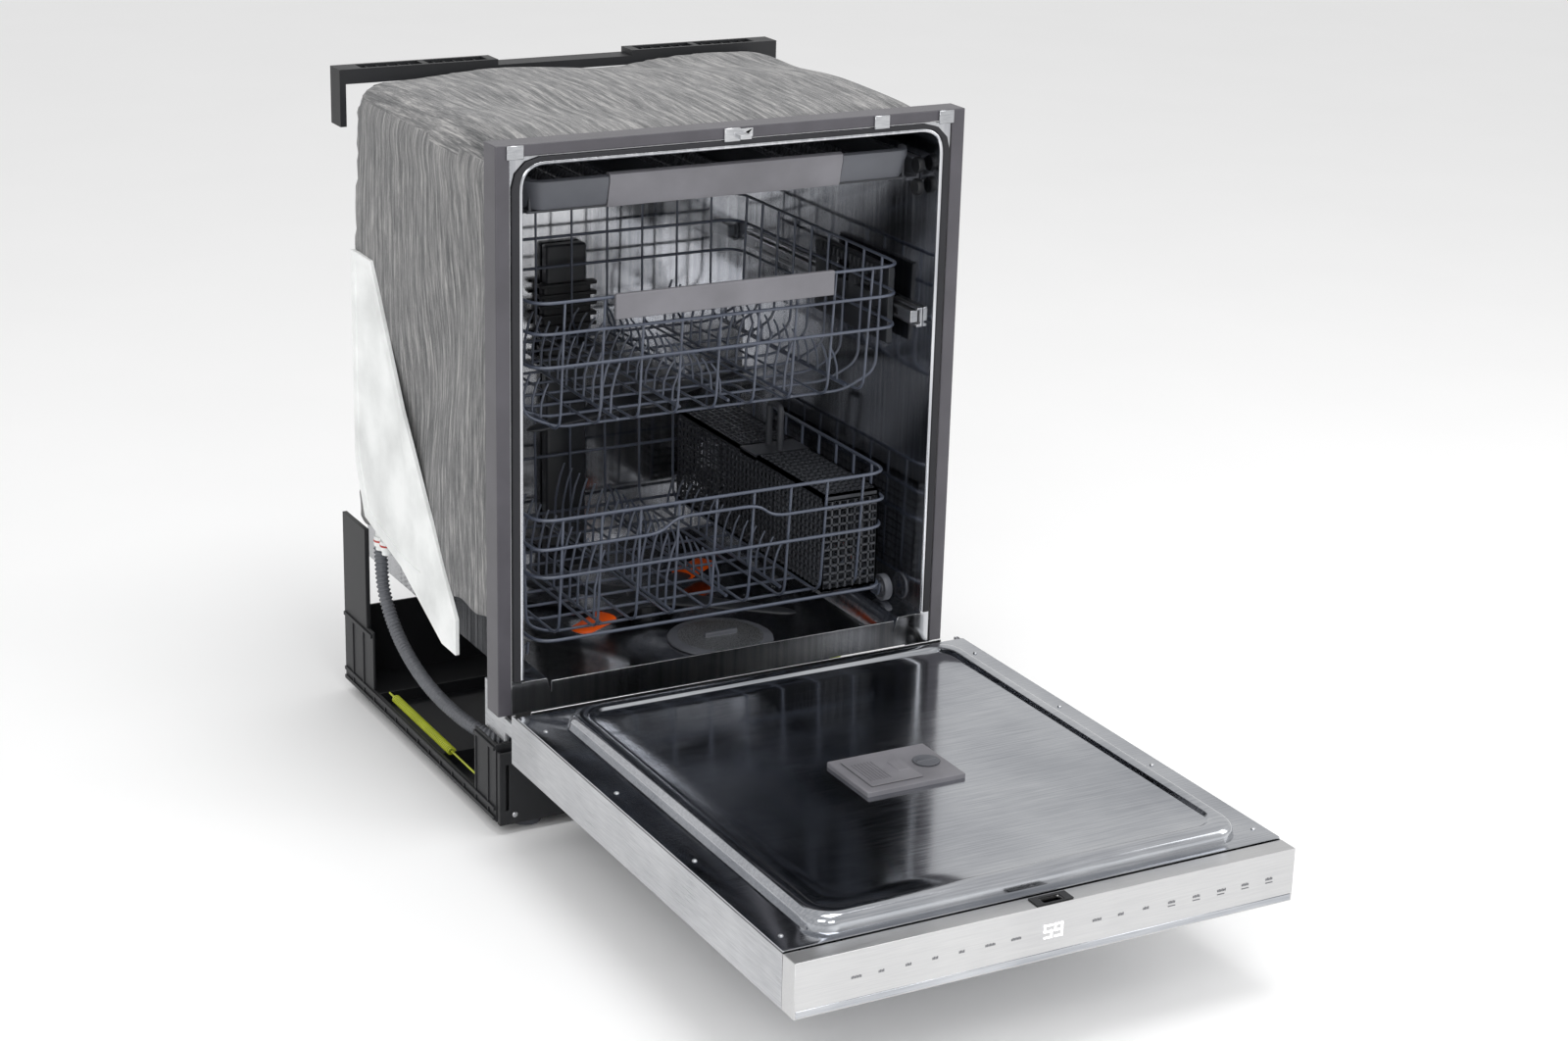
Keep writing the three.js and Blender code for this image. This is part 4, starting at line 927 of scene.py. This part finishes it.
for name, spot, lean in (("left", -0.140, 0.014), ("middle", -0.045, 0.014)):
    low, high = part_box(f"lower_tines_{name}")
    piece(f"lower_tine_row_{name}",
          *tines(spot, low.y, high.y, low.z + 0.0022, high.z - low.z - 0.003, 15, lean), nylon,
          f"lower_tines_{name}", "coated_wire", replaces=(f"lower_tines_{name}",), smooth=70)
fixed = [tines(x, yf + 0.05, yb - 0.04, floor_z + 0.004, 0.05, 14, lean, 0.0016) for x,
         lean in ((0.04, -0.012), (0.115, 0.012))]
piece("lower_fixed_tines", *together(fixed), nylon, "lower_rack", "coated_wire", smooth=70)

# Wheels: moulded in grey nylon, with a rounded tread, a hub and five spokes.
tread = [(0.0128, -0.0045), (0.0158, -0.0050), (0.0169, -0.0036), (0.0170, 0.0), (0.0169, 0.0036),
         (0.0158, 0.0050), (0.0128, 0.0045), (0.0134, 0.0)]
hub = [(0.0042, -0.0048), (0.0066, -0.0048), (0.0072, -0.0036), (0.0072, 0.0036), (0.0066, 0.0050),
       (0.0042, 0.0050)]
for name, (lo, hi) in wheel_boxes.items():
    centre = ((lo.x + hi.x) / 2, (lo.y + hi.y) / 2, (lo.z + hi.z) / 2)
    parts = []
    for profile in (tread, hub):
        points, _ = turned(profile, centre, axis=0, sides=30)
        parts.append((points, loft((len(profile), 30), path_closed=True)))
    for a in np.arange(5) * 2 * math.pi / 5 + 0.3:
        arm_path = [(centre[0], centre[1] + r * math.cos(a), centre[2] + r * math.sin(a))
                    for r in (0.006, 0.010, 0.0135)]
        parts.append(drawn(arm_path, np.array([0.0024, 0.0019, 0.0024]), (1, 0, 0), 8))
    piece(name + "_spoked", *together(parts), mid_grey, BODY_OF[name], "mid_grey_plastic",
          replaces=(name,), smooth=45)

# --- Cutlery basket --------------------------------------------------------------------------
# A long lattice basket in charcoal plastic with two partitions, a deck with a loop handle at its
# middle, and a lattice lid on each side of the deck, hinged along its right edge.
low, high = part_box("cutlery_basket")
x0, x1, y0, y1, z0, z1 = low.x, high.x, low.y, high.y, low.z, 0.340
bar = 0.0012
lo, hi = [], []


def lattice(corner, size, across, pitch):
    """Bars of a flat lattice: it spans two of the three axes from a corner, is as thick as its
    size on the third, and repeats by the pitch along both of its axes."""
    for run in across:
        count = max(2, int(round(size[run] / pitch)) + 1)
        places = np.linspace(corner[run] + bar, corner[run] + size[run] - bar, count)
        a = np.tile(np.asarray(corner, float), (count, 1))
        b = a + np.asarray(size, float)
        a[:, run], b[:, run] = places - bar, places + bar
        lo.append(a)
        hi.append(b)


for x in (x0, x1 - 0.0022):
    lattice((x, y0, z0), (0.0022, y1 - y0, z1 - z0), (1, 2), 0.0105)
for y in (y0, y1 - 0.0022, 0.172 + front - 0.0011, 0.314 + front - 0.0011):
    lattice((x0, y, z0), (x1 - x0, 0.0022, z1 - z0 - 0.004), (0, 2), 0.0105)
lattice((x0, y0, z0), (x1 - x0, y1 - y0, 0.0024), (0, 1), 0.0105)
for y in (y0, y1 - 0.006):
    lo.append([(x0, y, z1 - 0.006)])
    hi.append([(x1, y + 0.006, z1)])
for x in (x0, x1 - 0.003):
    lo.append([(x, y0, z1 - 0.006)])
    hi.append([(x + 0.003, y1, z1)])
mid_y = (y0 + y1) / 2
lo.append([(x0, mid_y - 0.021, z1 - 0.005)])
hi.append([(x1, mid_y + 0.021, z1 + 0.003)])
piece("cutlery_basket_lattice", *blocks(np.vstack(lo), np.vstack(hi)), tray, "lower_rack",
      "charcoal_plastic", replaces=("cutlery_basket",))
loop = bent([(0.190, mid_y - 0.015, z1), (0.190, mid_y - 0.015, high.z - 0.004),
             (0.190, mid_y + 0.015, high.z - 0.004), (0.190, mid_y + 0.015, z1)], 0.008)
piece("cutlery_basket_handle", *drawn(loop, 0.0042, (1, 0, 0), 12), tray, "lower_rack", "charcoal_plastic",
      smooth=60)
for name in ("front", "rear"):
    low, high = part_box(f"cutlery_lid_{name}")
    lo, hi = [], []
    lattice((low.x, low.y, low.z), (high.x - low.x, high.y - low.y, high.z - low.z), (0, 1), 0.0115)
    for x in (low.x, high.x - 0.004):
        lo.append([(x, low.y, low.z)])
        hi.append([(x + 0.004, high.y, high.z)])
    for y in (low.y, high.y - 0.004):
        lo.append([(low.x, y, low.z)])
        hi.append([(high.x, y + 0.004, high.z)])
    piece(f"cutlery_lid_lattice_{name}", *blocks(np.vstack(lo), np.vstack(hi)), tray,
          f"cutlery_lid_{name}", "charcoal_plastic", replaces=(f"cutlery_lid_{name}",))

# --- Studio -----------------------------------------------------------------------------------
# A pale floor under a white surround, lit by wide soft panels, and a long-lens camera.
floor_white = fresh("pale_studio_floor")
at = add(floor_white, "TexCoord")
cloud = add(floor_white, "TexNoise", {"Vector": (at, "Object"), "Scale": 3.0})
colour = tinted(floor_white, "#fbfbfb", cloud, 0.97, 1.0, 0, 1)
close(floor_white, add(floor_white, "BsdfPrincipled", {"Base Color": (colour, 2), "Roughness": 0.9}))
x, y = np.meshgrid(np.linspace(-14, 14, 15), np.linspace(-14, 14, 15), indexing="ij")
grid = np.stack([x, y, np.zeros_like(x)], -1).reshape(-1, 3)
data = bpy.data.meshes.new("studio_floor")
data.from_pydata(grid.tolist(), [], loft((15, 15), ring_closed=False, capped=False))
data.flip_normals()
data.materials.append(floor_white)
floor = bpy.data.objects.new("studio_floor", data)
bpy.context.collection.objects.link(floor)

world = bpy.data.worlds.new("white_surround")
world.use_nodes = True
surround = next(n for n in world.node_tree.nodes if n.type == "BACKGROUND")
surround.inputs["Color"].default_value = (1, 1, 1, 1)
surround.inputs["Strength"].default_value = 0.78
bpy.context.scene.world = world

for name, place, aim, size, power in (
        ("key_panel", (-2.4, -2.6, 2.8), (0, 0, 0.4), 1.6, 30),
        ("fill_panel", (3.0, -1.8, 1.9), (0, 0, 0.4), 1.8, 22),
        ("top_panel", (0.2, -0.6, 3.2), (0, -0.1, 0.4), 1.4, 30),
        ("mouth_panel", (-0.5, -2.6, 1.2), (0, 0.3, 0.45), 0.8, 10)):
    lamp = bpy.data.lights.new(name, "AREA")
    lamp.size = size
    lamp.energy = power
    holder = bpy.data.objects.new(name, lamp)
    bpy.context.collection.objects.link(holder)
    back = np.subtract(place, aim)
    back = back / np.linalg.norm(back)
    right = np.cross((0, 0, 1), back)
    right /= np.linalg.norm(right)
    up = np.cross(back, right)
    holder.matrix_world = Matrix([[*row, p] for row,
                                  p in zip(np.stack([right, up, back], 1), place)] + [[0, 0, 0, 1]])

azimuth, elevation, roll = map(math.radians, (-29.1, 19.05, 1.6))
back = np.array([math.sin(azimuth) * math.cos(elevation), -math.cos(azimuth) * math.cos(elevation),
                 math.sin(elevation)])
level = np.array([math.cos(azimuth), math.sin(azimuth), 0])
upright = np.cross(back, level)
right = math.cos(roll) * level + math.sin(roll) * upright
up = math.cos(roll) * upright - math.sin(roll) * level
lens = bpy.data.cameras.new("studio_camera")
lens.sensor_width = 36
lens.lens = 67.725
lens.clip_end = 60
camera = bpy.data.objects.new("studio_camera", lens)
bpy.context.collection.objects.link(camera)
stand = (-1.5385, -2.7884, 1.4806)
camera.matrix_world = Matrix([[*row, p] for row,
                              p in zip(np.stack([right, up, back], 1), stand)] + [[0, 0, 0, 1]])
bpy.context.scene.camera = camera
bpy.context.scene.view_settings.view_transform = "Standard"
